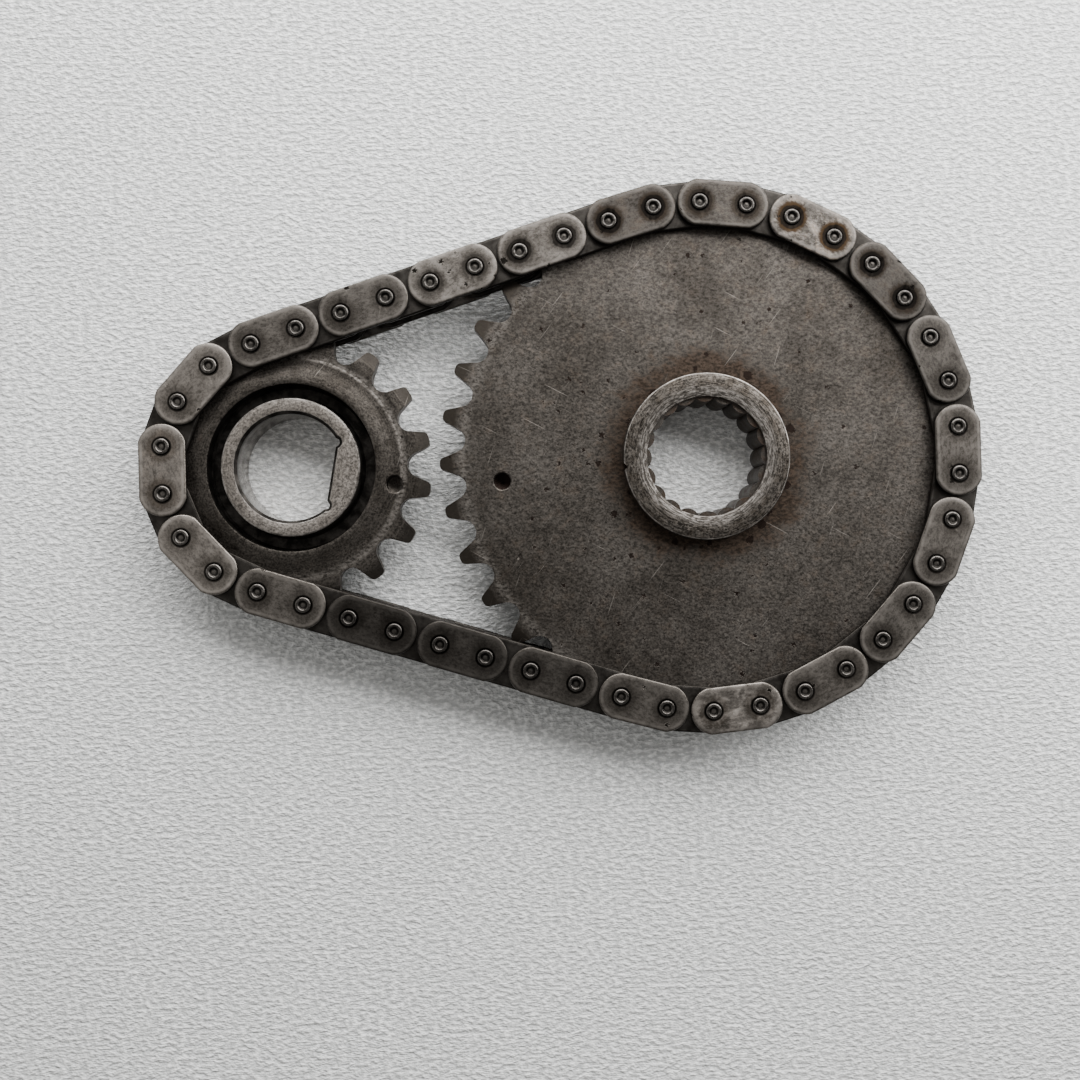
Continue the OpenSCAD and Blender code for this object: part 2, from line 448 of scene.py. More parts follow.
def tooth_flank(pitch_r, tip_r, step):
    """(radius, half angle of the tooth) from the bottom of the seat to the middle of the tip."""
    points = []
    for k in range(SEAT_POINTS + 1):
        a = math.pi - (math.pi / 2 - FLANK) * k / SEAT_POINTS
        points.append(Vector((pitch_r + SEAT_R * math.cos(a), SEAT_R * math.sin(a))))
    along = Vector((math.cos(FLANK), math.sin(FLANK)))
    foot = points[-1]
    length = (tip_r - foot.length) / math.cos(FLANK - math.atan2(foot.y, foot.x))
    for _ in range(3):  # each step brings the corner closer to the tip circle
        length += (tip_r - (foot + along * length).length) / math.cos(FLANK)
    corner = foot + along * length
    for k in range(1, FLANK_POINTS + 1):
        points.append(foot + along * (length - TIP_ROUND) * k / FLANK_POINTS)
    before = points[-1]
    corner_angle = math.atan2(corner.y, corner.x)
    after = polar(tip_r, corner_angle + TIP_ROUND / tip_r)
    for k in range(1, TIP_POINTS + 1):
        t = k / TIP_POINTS
        points.append(before.lerp(corner, t).lerp(corner.lerp(after, t), t))
    return [(p.length, step / 2 - math.atan2(p.y, p.x)) for p in points]


def with_radius(flank, radius):
    """The same flank with one more point, exactly at that radius."""
    for k in range(1, len(flank)):
        (r0, a0), (r1, a1) = flank[k - 1], flank[k]
        if r0 < radius < r1 and min(radius - r0, r1 - radius) > 0.02:
            t = (radius - r0) / (r1 - r0)
            return flank[:k] + [(radius, a0 + (a1 - a0) * t)] + flank[k:]
    return flank


def face_height(radius, bevel):
    """Half thickness of the rim at a radius: bevel lists (radius, height lost) points."""
    for (r0, d0), (r1, d1) in zip(bevel, bevel[1:]):
        if radius <= r0:
            return RIM_HALF - d0
        if radius < r1:
            return RIM_HALF - d0 - (d1 - d0) * (radius - r0) / (r1 - r0)
    return RIM_HALF - bevel[-1][1]


# %% [markdown]
# Above the radius where the bevel starts, a tooth is a ladder of rows across it. Below, one flat face
# reaches from the inner arc up into the tooth. The side wall follows the flank between both faces.

# %% One sector of the rim, and all of them
# Material numbers. The third is a painted highlight along edges; the groove's black also paints shade on
# chamfers.
FACE, WALL, EDGE_HIGHLIGHT, GROOVE, BORE = range(5)


def add_sector(shape, middle, step, core_r, core_points, flank, bevel):
    """One tooth with its share of the rim."""
    start = bevel[0][0]
    low_part = [p for p in flank if p[0] < start - 1e-6]
    high_part = [p for p in flank if p[0] >= start - 1e-6]

    def at(radius, angle, side):
        p = polar(radius, middle + angle)
        return (p.x, p.y, MID_Z + side * face_height(radius, bevel))

    walls = {}
    for side in (1, -1):
        arc = [step * (k / core_points - 0.5) for k in range(core_points + 1)]
        core = shape.row([at(core_r, a, side) for a in arc])
        left = shape.row([at(r, a, side) for r, a in low_part])
        right = shape.row([at(r, -a, side) for r, a in low_part])
        ladder = []
        for r, a in high_part:
            spread = [a * (1 - 2 * k / ACROSS) for k in range(ACROSS + 1)]
            ladder.append(shape.row([at(r, s, side) for s in spread]))
        shape.face(tuple(core + left + ladder[0] + right[::-1]), FACE)
        for low, high in zip(ladder, ladder[1:]):
            shape.strip(low, high, FACE, closed=False)
        walls[side] = left + [rung[0] for rung in ladder] + ladder[-1][1:-1]
        walls[side] += [rung[-1] for rung in reversed(ladder)] + right[::-1]
    shape.strip(walls[1], walls[-1], WALL, closed=False)


def add_teeth(shape, teeth, pitch_r, core_r, core_points, bevel, first_tooth):
    """The whole rim of a sprocket; the last radius of the bevel is that of the tips."""
    step = 2 * math.pi / teeth
    flank = tooth_flank(pitch_r, bevel[-1][0], step)
    for radius, _ in bevel[:-1]:
        flank = with_radius(flank, radius)
    for k in range(teeth):
        add_sector(shape, first_tooth + k * step, step, core_r, core_points, flank, bevel)


# %% [markdown]
# The turned body of each sprocket is a closed loop of rings. A ring's radius may change with the angle:
# that gives the lobed bore of the large hub and the flat side of the small one in the same few lines.

# %% Rings whose radius follows the angle
def add_rings(shape, profile, angles, closed=False):
    """profile lists (radius or function of the angle, z, material number of the band after it)."""
    rings = []
    for radius, z, _ in profile:
        points = []
        for a in angles:
            p = polar(radius(a) if callable(radius) else radius, a)
            points.append((p.x, p.y, z))
        rings.append(shape.row(points))
    pairs = list(zip(rings, rings[1:], profile))
    if closed:
        pairs.append((rings[-1], rings[0], profile[-1]))
    for low, high, (_, _, band) in pairs:
        shape.strip(low, high, band)


def ring_angles(teeth, per_tooth, first_tooth):
    """Angles that meet the inner arcs of the sectors point for point."""
    step = 2 * math.pi / teeth
    start = first_tooth - step / 2
    return [start + step * k / per_tooth for k in range(teeth * per_tooth)]


# %% [markdown]
# ## Timing marks
#
# Each sprocket has a blind drilled hole that shows its timing position, and the large one also a short
# dent from a chisel. Their shapes are turned here, and the finishing pass cuts them.

# %% The drill and the chisel
DRILL_R = 1.7
DRILL_POINT = DRILL_R * 0.45
SINK = 0.22


def drill(x, y, top, depth):
    """A drill with a conical point and a small countersink at height top."""
    shape = Shape()
    profile = [
        (0, top - depth - DRILL_POINT), (DRILL_R, top - depth), (DRILL_R, top - SINK),
        (DRILL_R + SINK, top), (DRILL_R + SINK, top + 1), (0, top + 1),
    ]
    lathe(shape, profile, 48, (x, y))
    return tidy_mesh(shape.mesh("drill"))


def chisel(x, y, top, length, width, angle):
    """A long shallow dent, as a chisel point leaves."""
    shape = Shape()
    rows = 10
    profile = [(math.sin(math.pi * k / rows), -math.cos(math.pi * k / rows)) for k in range(rows + 1)]
    profile[0], profile[-1] = (0, -1), (0, 1)
    lathe(shape, profile, 24)
    turn = Matrix.Rotation(angle, 3, "Z")
    placed = []
    for p in shape.points:
        q = turn @ Vector((p[0] * length / 2, p[1] * width / 2, p[2] * width * 0.4))
        placed.append((x + q.x, y + q.y, top + q.z))
    shape.points = placed
    return tidy_mesh(shape.mesh("chisel"))


# %% [markdown]
# ## The large sprocket
#
# A plate 3.5 mm thick with the hub's barrel pressed through its middle. Near the left edge it carries a
# drilled timing mark and a small chisel mark.

# %% The toothed plate
LARGE_TIP_R = 54.2
LARGE_CORE_R = 48.4
LARGE_PER_TOOTH = 8
BARREL_R = 15.0
BARREL_SEAT_R = BARREL_R + 0.02
LARGE_BEVEL = [(50.3, 0.0), (51.6, 0.12), (LARGE_TIP_R, 0.8)]


def large_plate_mesh():
    shape = Shape()
    add_teeth(shape, LARGE_TEETH, LARGE_R, LARGE_CORE_R, LARGE_PER_TOOTH, LARGE_BEVEL, 0)
    add_rings(shape, [
        (LARGE_CORE_R, RIM_BOTTOM, FACE), (34, RIM_BOTTOM, FACE), (22, RIM_BOTTOM, FACE),
        (BARREL_SEAT_R, RIM_BOTTOM, WALL), (BARREL_SEAT_R, RIM_TOP, FACE),
        (22, RIM_TOP, FACE), (34, RIM_TOP, FACE), (LARGE_CORE_R, RIM_TOP, FACE),
    ], ring_angles(LARGE_TEETH, LARGE_PER_TOOTH, 0))
    return tidy_mesh(shape.mesh("large_plate"))


timing_at = polar(41.7, math.radians(185.3))
dent_at = polar(43.0, math.radians(206.7))
large_cutters = [
    drill(timing_at.x, timing_at.y, RIM_TOP, depth=2.0),
    chisel(dent_at.x, dent_at.y, RIM_TOP, length=1.5, width=0.7, angle=math.radians(60)),
]
large_plate = finished(large_plate_mesh(), "large_plate", large_cutters, bevel=0.12)

# %% [markdown]
# The hub is a flanged sleeve. Its bore has twenty rounded lobes, which start a little below the rim, and
# the rim itself is dished and polished by the part that once sat in it. A small notch in the flange marks
# the timing position.

# %% The lobed hub
FLANGE_R = 16.95
FLANGE_H = 3.0
LOBES = 20
PER_LOBE = 24
ROOT_R = 12.1
LOBE_TIP_R = 11.1
DISH_R = 14.4
NOTCH_ANGLE = math.radians(186)
NOTCH_DEPTH = 0.78

half_lobe = math.pi / LOBES
lobe_chord = ROOT_R * math.sin(half_lobe)
lobe_sag = ROOT_R * math.cos(half_lobe) - LOBE_TIP_R
LOBE_R = (lobe_chord ** 2 + lobe_sag ** 2) / (2 * lobe_sag)
LOBE_AT = LOBE_TIP_R + LOBE_R


def lobed(a):
    """Radius of the bore: the nearest lobe is a circle that bulges towards the axis."""
    off = (a + half_lobe) % (2 * half_lobe) - half_lobe
    side = LOBE_AT * math.sin(off)
    return LOBE_AT * math.cos(off) - math.sqrt(LOBE_R ** 2 - side ** 2)


def notched(radius):
    """A ring of that radius with the V notch in it."""
    def at(a):
        off = abs((a - NOTCH_ANGLE + math.pi) % (2 * math.pi) - math.pi) * FLANGE_R
        return min(radius, FLANGE_R - NOTCH_DEPTH + off)
    return at


def hub_mesh():
    shape = Shape()
    count = LOBES * PER_LOBE
    angles = [2 * math.pi * k / count for k in range(count)]
    top = RIM_TOP + FLANGE_H
    lobe_top = top - 1.0
    add_rings(shape, [
        (lobed, 0.0, WALL), (lobed, lobe_top, WALL), (ROOT_R + 0.02, lobe_top, WALL),
        (ROOT_R + 0.02, top - 0.35, FACE), (12.2, top - 0.18, FACE), (12.6, top - 0.1, FACE),
        (13.2, top - 0.04, FACE), (13.8, top - 0.01, FACE), (DISH_R, top, FACE),
        # A painted edge highlight runs round the outer edge of the flange.
        (notched(FLANGE_R - 0.3), top, EDGE_HIGHLIGHT), (notched(FLANGE_R - 0.16), top - 0.05, EDGE_HIGHLIGHT),
        (notched(FLANGE_R - 0.05), top - 0.18, WALL), (notched(FLANGE_R), top - 0.4, WALL),
        (notched(FLANGE_R), RIM_TOP + 0.15, WALL), (notched(FLANGE_R - 0.15), RIM_TOP, WALL),
        (BARREL_R, RIM_TOP, WALL), (BARREL_R, 0.5, WALL), (BARREL_R - 0.5, 0.0, FACE),
    ], angles, closed=True)
    return tidy_mesh(shape.mesh("hub"), FINE_UP_TO)


hub = finished(hub_mesh(), "hub")

# %% [markdown]
# ## The small sprocket
#
# One turned piece: a boss with a D-shaped bore, a deep groove round it, a soft shoulder, and the toothed
# rim. The flat of the bore ends in two small round reliefs, left by the tool that cut the corners.

# %% The D bore and its turned body
SMALL_TIP_R = 28.3
SMALL_CORE_R = 22.6
SMALL_PER_TOOTH = 24
SMALL_BEVEL = [(24.3, 0.1), (25.7, 0.24), (SMALL_TIP_R, 0.85)]
D_BORE_R = 10.85
D_FLAT = 8.28
D_ANGLE = math.radians(-10.6)
RELIEF_R = 0.8
BOSS_R = 14.05
GROOVE_R = 17.0
BOSS_TOP = RIM_TOP + 1.5
SHOULDER_TOP = RIM_TOP + 0.7
GROOVE_BOTTOM = SHOULDER_TOP - 4.0
UNDER_BOTTOM = GROOVE_BOTTOM - 2.0

# The middle of the relief at the end of the flat, a little inside the corner itself.
relief_at = Vector((D_FLAT - 0.15, math.sqrt(D_BORE_R ** 2 - D_FLAT ** 2) - 0.55))


def d_shape(grow=0.0):
    """Radius of the D-shaped bore at an angle, opened by grow millimetres."""
    def at(a):
        off = (a - D_ANGLE + math.pi) % (2 * math.pi) - math.pi
        radius = D_BORE_R + grow
        if abs(off) < math.pi / 3:
            radius = min(radius, (D_FLAT + grow) / math.cos(off))
        to_relief = abs(off) - math.atan2(relief_at.y, relief_at.x)
        side = relief_at.length * math.sin(to_relief)
        if abs(side) < RELIEF_R + grow and abs(off) < math.pi / 2:
            half_chord = math.sqrt((RELIEF_R + grow) ** 2 - side ** 2)
            radius = max(radius, relief_at.length * math.cos(to_relief) + half_chord)
        return radius
    return at


def small_sprocket_mesh():
    shape = Shape()
    add_teeth(shape, SMALL_TEETH, SMALL_R, SMALL_CORE_R, SMALL_PER_TOOTH, SMALL_BEVEL, math.pi)
    add_rings(shape, [
        (SMALL_CORE_R, RIM_BOTTOM + 0.1, FACE), (22.2, RIM_BOTTOM, FACE), (20.4, RIM_BOTTOM, FACE),
        (19.2, UNDER_BOTTOM, FACE),
        (BOSS_R, UNDER_BOTTOM, WALL), (BOSS_R, 0.35, FACE), (BOSS_R - 0.35, 0, FACE),
        (d_shape(0.3), 0, BORE), (d_shape(), 0.3, BORE),
        # Round the bore the chamfer takes the groove's black as painted shade, and a thin band of painted
        # edge highlight runs along its top.
        (d_shape(), BOSS_TOP - 0.62, GROOVE), (d_shape(0.4), BOSS_TOP - 0.25, GROOVE),
        (d_shape(0.48), BOSS_TOP - 0.1, GROOVE), (d_shape(0.56), BOSS_TOP - 0.03, EDGE_HIGHLIGHT),
        (d_shape(0.66), BOSS_TOP, FACE),
        # The boss's outer edge: a painted edge highlight, then the groove's black as painted shade down the
        # edge.
        (BOSS_R - 0.42, BOSS_TOP, EDGE_HIGHLIGHT), (BOSS_R - 0.16, BOSS_TOP - 0.07, EDGE_HIGHLIGHT),
        (BOSS_R - 0.03, BOSS_TOP - 0.24, GROOVE),
        (BOSS_R, BOSS_TOP - 0.5, GROOVE), (BOSS_R, GROOVE_BOTTOM + 0.5, GROOVE),
        (BOSS_R + 0.5, GROOVE_BOTTOM, GROOVE), (GROOVE_R - 0.5, GROOVE_BOTTOM, GROOVE),
        (GROOVE_R, GROOVE_BOTTOM + 0.5, GROOVE), (GROOVE_R, SHOULDER_TOP - 0.2, FACE),
        (GROOVE_R + 0.07, SHOULDER_TOP - 0.06, FACE), (GROOVE_R + 0.25, SHOULDER_TOP, FACE),
        (18.0, SHOULDER_TOP - 0.06, FACE), (19.0, SHOULDER_TOP - 0.22, FACE),
        (20.0, SHOULDER_TOP - 0.46, FACE), (20.7, RIM_TOP + 0.09, FACE), (21.4, RIM_TOP + 0.01, FACE),
        (21.9, RIM_TOP, FACE), (22.2, RIM_TOP - 0.02, FACE), (22.45, RIM_TOP - 0.08, FACE),
        (SMALL_CORE_R, RIM_TOP - 0.1, FACE),
    ], ring_angles(SMALL_TEETH, SMALL_PER_TOOTH, math.pi))
    return tidy_mesh(shape.mesh("small_sprocket"), FINE_UP_TO)


small_mark = polar(21.1, D_ANGLE)
small_cutters = [drill(small_mark.x, small_mark.y, RIM_TOP + 0.02, depth=2.4)]
small_sprocket = finished(small_sprocket_mesh(), "small_sprocket", small_cutters, bevel=0.11)

# %% [markdown]
# ## Building finishes from nodes
#
# A finish is a network of nodes, computed from a point's place on the piece, so it needs no image and never
# shows a seam. `add` places one node; an input may be a number or another node's output. `remap` and
# `blend` are the two steps that nearly every finish is made of, and the small sums have names of their own.

# %% Short ways to add nodes
NOISE_RANGE = (0.3, 0.7)


def wire(tree, node, inputs):
    """Fills a node's sockets, by name or number, with values or with other nodes' outputs."""
    for name, value in inputs.items():
        if isinstance(value, bpy.types.NodeSocket):
            tree.links.new(value, node.inputs[name])
        else:
            node.inputs[name].default_value = value
    return node


def add(tree, kind, inputs=None, **settings):
    node = tree.nodes.new("ShaderNode" + kind)
    for name, value in settings.items():
        setattr(node, name, value)
    return wire(tree, node, inputs or {})


def calc(tree, operation, a, b=0.0, clamp=False):
    return add(tree, "Math", {0: a, 1: b}, operation=operation, use_clamp=clamp).outputs[0]


def vector_calc(tree, operation, a, b):
    """b is a vector, or for SCALE a number."""
    second = "Scale" if operation == "SCALE" else 1
    return add(tree, "VectorMath", {0: a, second: b}, operation=operation).outputs[0]


def plus(tree, a, b):
    return calc(tree, "ADD", a, b)


def minus(tree, a, b):
    return calc(tree, "SUBTRACT", a, b)


def times(tree, a, b):
    return calc(tree, "MULTIPLY", a, b)


def larger(tree, a, b):
    return calc(tree, "MAXIMUM", a, b)


def weighted(tree, *parts):
    """The sum of (value, weight) parts."""
    total = times(tree, *parts[0])
    for value, weight in parts[1:]:
        total = plus(tree, total, times(tree, value, weight))
    return total


def remap(tree, value, low, high, to_low=0.0, to_high=1.0):
    """Turns low..high into to_low..to_high with soft ends, and stays inside them."""
    inputs = {"Value": value, "From Min": low, "From Max": high, "To Min": to_low, "To Max": to_high}
    return add(tree, "MapRange", inputs, interpolation_type="SMOOTHSTEP").outputs["Result"]


def fade(tree, value, low, high, top=1.0):
    """Is top up to low and nothing from high on."""
    return remap(tree, value, low, high, top, 0.0)


def between(tree, value, rise, fall, top=1.0):
    """A band: rises to top over the first pair of limits and fades over the second."""
    return times(tree, remap(tree, value, *rise, 0.0, top), fade(tree, value, *fall))


def blend(tree, mask, a, b, mode="MIX"):
    """Colour a where mask is 0, and b where it is 1."""
    node = add(tree, "Mix", {0: mask, 6: a, 7: b}, data_type="RGBA", blend_type=mode)
    return node.outputs[2]


def tinted(tree, colour, by):
    """The colour times another colour or a brightness."""
    return blend(tree, 1.0, colour, by, "MULTIPLY")


def noise(tree, vector, scale, detail, rough, distort=0.0):
    """Values round a half, nearly all of them inside NOISE_RANGE."""
    inputs = {"Vector": vector, "Scale": scale, "Detail": detail, "Roughness": rough, "Distortion": distort}
    return add(tree, "TexNoise", inputs).outputs["Fac"]


def grey(value, warm=0.0):
    """A grey of that strength; warm moves it towards brown."""
    return (value * (1 + warm), value, value * (1 - warm), 1.0)


print("a warm grey:", grey(0.1, 0.1))

# %% [markdown]
# A node group is an effect with a name, built once and placed in many finishes. Its sockets are declared
# first, and its inside is wired between them.

# %% Starting a group
SOCKETS = {"value": "NodeSocketFloat", "colour": "NodeSocketColor", "vector": "NodeSocketVector"}


def new_group(name, inputs, outputs):
    """inputs and outputs map a socket's name to its kind, or inputs to (kind, default)."""
    tree = bpy.data.node_groups.new(name, "ShaderNodeTree")
    for label, kind in inputs.items():
        kind, default = kind if isinstance(kind, tuple) else (kind, None)
        socket = tree.interface.new_socket(label, in_out="INPUT", socket_type=SOCKETS[kind])
        if default is not None:
            socket.default_value = default
    for label, kind in outputs.items():
        tree.interface.new_socket(label, in_out="OUTPUT", socket_type=SOCKETS[kind])
    entry = tree.nodes.new("NodeGroupInput")
    leave = tree.nodes.new("NodeGroupOutput")
    return tree, entry.outputs, leave.inputs


def place(tree, group, inputs):
    """Places a group in another tree and returns its outputs."""
    node = tree.nodes.new("ShaderNodeGroup")
    node.node_tree = group
    return wire(tree, node, inputs).outputs


def in_millimetres(tree, where):
    return vector_calc(tree, "SCALE", where, 1 / MM)


# %% [markdown]
# ## Steel that has worked for years
#
# This group gives the uneven field that all these steels share. `Broad` is the soft change of tone over a
# finger's breadth of metal, `Patches` the blotches of old oil, `Streaks` the ragged combed mottling that
# wiping leaves, `Grain` the fine mottling of a tumbled surface, `Pits` a sprinkle of small corrosion holes
# and `Scratches` a few thin lines. All its scales are counted per millimetre.

# %% Group: worn field
worn_field, ins, outs = new_group(
    "worn field",
    {"Place": "vector", "Seed": ("value", 0.0), "Pit Share": ("value", 0.3), "Pit Size": ("value", 0.2)},
    {"Broad": "value", "Patches": "value", "Streaks": "value", "Grain": "value", "Pits": "value",
     "Scratches": "value"},
)
tree = worn_field
shift = add(tree, "CombineXYZ", {"X": ins["Seed"], "Y": times(tree, ins["Seed"], 0.61)}).outputs[0]
field = vector_calc(tree, "ADD", in_millimetres(tree, ins["Place"]), shift)
tree.links.new(noise(tree, field, 0.075, 3, 0.55), outs["Broad"])
tree.links.new(noise(tree, field, 0.42, 4, 0.6, 0.3), outs["Patches"])
fine = noise(tree, field, 2.6, 4, 0.72)
tree.links.new(fine, outs["Grain"])
combed = add(tree, "Mapping", {"Vector": field, "Rotation": (0, 0, 0.9), "Scale": (0.8, 1.3, 1.0)})
tree.links.new(noise(tree, combed.outputs[0], 1.35, 5, 0.74, 0.15), outs["Streaks"])
print(tree.name, len(tree.nodes), "nodes so far")

# %% [markdown]
# Pits lie alone, so they come from a cell pattern. Each cell may hold one pit: its random colour says
# whether it does, and how large the pit is. The fine noise makes its border ragged.

# %% Worn field: pits
PIT_LEAST = 0.27

cells = add(tree, "TexVoronoi", {"Vector": field, "Scale": 0.36, "Randomness": 1.0})
chosen = add(tree, "SeparateColor", {0: cells.outputs["Color"]})
is_pit = calc(tree, "LESS_THAN", chosen.outputs[0], ins["Pit Share"])
ragged = plus(tree, cells.outputs["Distance"], times(tree, fine, 0.6))
size = plus(tree, times(tree, chosen.outputs[1], ins["Pit Size"]), PIT_LEAST)
pit = fade(tree, minus(tree, ragged, size), 0.0, 0.05)
tree.links.new(times(tree, pit, is_pit), outs["Pits"])
print(tree.name, len(tree.nodes), "nodes so far")

# %% [markdown]
# A scratch is the crest of a noise that is drawn out along one direction. Three directions are enough to
# look like chance.

# %% Worn field: scratches
SCRATCHES = ((0.5, 3.0), (-0.9, 47.0), (1.9, 91.0))

lines = []
for angle, seed in SCRATCHES:
    turned = add(tree, "Mapping", {"Vector": field, "Rotation": (0, 0, angle), "Location": (seed, 0, 0)})
    drawn_out = vector_calc(tree, "MULTIPLY", turned.outputs[0], (0.1, 3.2, 0.3))
    lines.append(remap(tree, noise(tree, drawn_out, 1.0, 1, 0.3), 0.76, 0.84))
tree.links.new(larger(tree, larger(tree, lines[0], lines[1]), lines[2]), outs["Scratches"])
print(tree.name, len(tree.nodes), "nodes")

# %% [markdown]
# On a link, wear and dirt follow the shape: oil creeps out of the joint round each pin, and the outer rim
# is rubbed bright. So this group measures, from the link's own coordinates, how far a point is from the
# nearest pin, from the edge of the plate and from the link's middle plane, all in millimetres.

# %% Group: places on a link plate
def length2(tree, a, b):
    """The length of the flat vector (a, b)."""
    pair = add(tree, "CombineXYZ", {"X": a, "Y": b}).outputs[0]
    return add(tree, "VectorMath", {0: pair}, operation="LENGTH").outputs["Value"]


plate_places, ins, outs = new_group(
    "places on a link plate",
    {"Place": "vector"},
    {"From Pin": "value", "From Edge": "value", "From Middle": "value"},
)
tree = plate_places
axes = add(tree, "SeparateXYZ", {0: in_millimetres(tree, ins["Place"])}).outputs
along = calc(tree, "ABSOLUTE", minus(tree, axes["X"], PITCH / 2))
across = calc(tree, "ABSOLUTE", axes["Y"])
tree.links.new(length2(tree, minus(tree, along, PITCH / 2), across), outs["From Pin"])
past = larger(tree, minus(tree, along, PITCH / 2 - END_INSET), 0.0)
to_end = minus(tree, END_R, length2(tree, past, across))
to_side = minus(tree, PLATE_HALF_W, across)
tree.links.new(calc(tree, "MINIMUM", to_end, to_side), outs["From Edge"])
tree.links.new(calc(tree, "ABSOLUTE", axes["Z"]), outs["From Middle"])
print(tree.name, len(tree.nodes), "nodes")

# %% [markdown]
# Sprockets are turned parts, so their zones are rings. This group gives the distance from the axis and the
# height above the floor, in millimetres.

# %% Group: rings round an axis
ring_places, ins, outs = new_group(
    "rings round an axis", {"Place": "vector"}, {"Radius": "value", "Height": "value"}
)
tree = ring_places
axes = add(tree, "SeparateXYZ", {0: in_millimetres(tree, ins["Place"])}).outputs
tree.links.new(length2(tree, axes["X"], axes["Y"]), outs["Radius"])
tree.links.new(axes["Z"], outs["Height"])
print(tree.name, len(tree.nodes), "nodes")

# %% [markdown]
# A lathe leaves fine rings on a turned face, and handling turns them into short arcs. They are a noise that
# changes fast with the radius and slowly along the ring: its place is the direction from the axis, which
# closes without a seam, and the radius.

# %% Group: turning marks
RINGS_PER_MM = 4.0

turning_marks, ins, outs = new_group(
    "turning marks", {"Place": "vector", "Radius": "value", "Arc": ("value", 7.0)}, {"Arcs": "value"}
)
tree = turning_marks
flat = vector_calc(tree, "MULTIPLY", ins["Place"], (1.0, 1.0, 0.0))
direction = add(tree, "VectorMath", {0: flat}, operation="NORMALIZE").outputs[0]
direction = vector_calc(tree, "SCALE", direction, ins["Arc"])
steps = add(tree, "CombineXYZ", {"Z": times(tree, ins["Radius"], RINGS_PER_MM)}).outputs[0]
spiral = vector_calc(tree, "ADD", direction, steps)
tree.links.new(remap(tree, noise(tree, spiral, 1.0, 3, 0.7), *NOISE_RANGE), outs["Arcs"])
print(tree.name, len(tree.nodes), "nodes")

# %% [markdown]
# Rust and old oil are both stains with a ragged border: they lie where a mask says, but the patches of the
# steel eat into it. One group serves both, with its own colour.

# %% Group: ragged stain
stain, ins, outs = new_group(
    "ragged stain",
    {"Colour": "colour", "Stain": "colour", "Where": "value", "Ragged": "value",
     "Strength": ("value", 1.0)},
    {"Colour": "colour", "Mask": "value"},
)
tree = stain
eaten = plus(tree, ins["Where"], times(tree, minus(tree, ins["Ragged"], 0.5), 1.3))
mask = calc(tree, "MULTIPLY", remap(tree, eaten, 0.25, 0.85), ins["Strength"], clamp=True)
tree.links.new(blend(tree, mask, ins["Colour"], ins["Stain"]), outs["Colour"])
tree.links.new(mask, outs["Mask"])
print(tree.name, len(tree.nodes), "nodes")

# %% [markdown]
# Every finish starts with the same Principled shader. The numbers that are the same all over the surface
# are set on the shader itself; the rest comes from the nodes. The bump adds relief that is too fine to
# model: the grain of the tumbled steel and the small pits.

# %% Starting and ending a finish
def new_finish(name, metallic=1.0):
    """A material with its shader, its nodes, and a point's place in the piece's own coordinates."""
    material = bpy.data.materials.new(name)
    material.use_nodes = True
    tree = material.node_tree
    tree.nodes["Principled BSDF"].inputs["Metallic"].default_value = metallic
    return material, tree, add(tree, "TexCoord").outputs["Object"]


def end_finish(material, colour, rough, height, depth):
    """Wires the shader; depth is the relief's height in millimetres."""
    tree = material.node_tree
    bump = add(tree, "Bump", {"Height": height, "Strength": 1.0, "Distance": depth * MM})
    results = {"Base Color": colour, "Roughness": rough, "Normal": bump.outputs[0]}
    wire(tree, tree.nodes["Principled BSDF"], results)
    print(material.name, len(tree.nodes), "nodes")
    return material


def own(tree, name):
    """A number that the link carries as an attribute."""
    return add(tree, "Attribute", attribute_name=name).outputs["Fac"]


def worn(tree, where, seed=0.0, pit_share=0.3, pit_size=0.2):
    inputs = {"Place": where, "Seed": seed, "Pit Share": pit_share, "Pit Size": pit_size}
    return place(tree, worn_field, inputs)


def stained(tree, colour, by, where, ragged, strength):
    inputs = {"Colour": colour, "Stain": by, "Where": where, "Ragged": ragged, "Strength": strength}
    return place(tree, stain, inputs)


# %% [markdown]
# ## The outer plates
#
# Dark tumbled steel, a warm grey. Oil darkens a halo round each pin. A painted highlight runs along the
# rim, a painted sheen lies between the pins, and the very edge and the side walls are painted almost black
# as painted shade. Some plates have specks of rust, pits, or a bright patch where the dark skin has peeled:
# how much, each link says itself. The bare steel comes first.

# %% Finish: outer plate
outer_plate_finish, tree, where = new_finish("outer plate steel")
steel = worn(tree, where, own(tree, "seed"), own(tree, "pits"), 0.26)
spots = place(tree, plate_places, {"Place": where})

tone = weighted(tree, (steel["Broad"], 0.7), (steel["Patches"], 0.3))
colour = blend(tree, remap(tree, tone, *NOISE_RANGE), grey(0.062, 0.14), grey(0.145, 0.11))
speckle = weighted(tree, (steel["Grain"], 0.5), (steel["Streaks"], 0.5))
colour = tinted(tree, colour, remap(tree, speckle, 0.36, 0.64, 0.6, 1.4))
# Painted sheen: the plate is painted lighter between the pins, broken up by the streaks.
sheen = times(tree, remap(tree, spots["From Pin"], 2.2, 4.6),
              remap(tree, steel["Streaks"], 0.38, 0.62, 0.1, 1.0))
colour = blend(tree, times(tree, sheen, 0.6), colour, grey(0.18, 0.1))
print(outer_plate_finish.name, len(tree.nodes), "nodes so far")

# %% [markdown]
# Where the dark skin has peeled, bright steel shows, and rust grows in flakes. Both are ragged stains.

# %% Outer plate: peeled and rusty
RUST = (0.20, 0.115, 0.05, 1)

torn = weighted(tree, (steel["Patches"], 0.85), (steel["Streaks"], 0.4))
peeled = stained(tree, colour, grey(0.7, 0.08), 0.2, torn, own(tree, "peel"))
flaky = weighted(tree, (steel["Patches"], 0.8), (steel["Grain"], 0.4))
rusty = stained(tree, peeled["Colour"], RUST, 0.2, flaky, own(tree, "rust"))
print(outer_plate_finish.name, len(tree.nodes), "nodes so far")

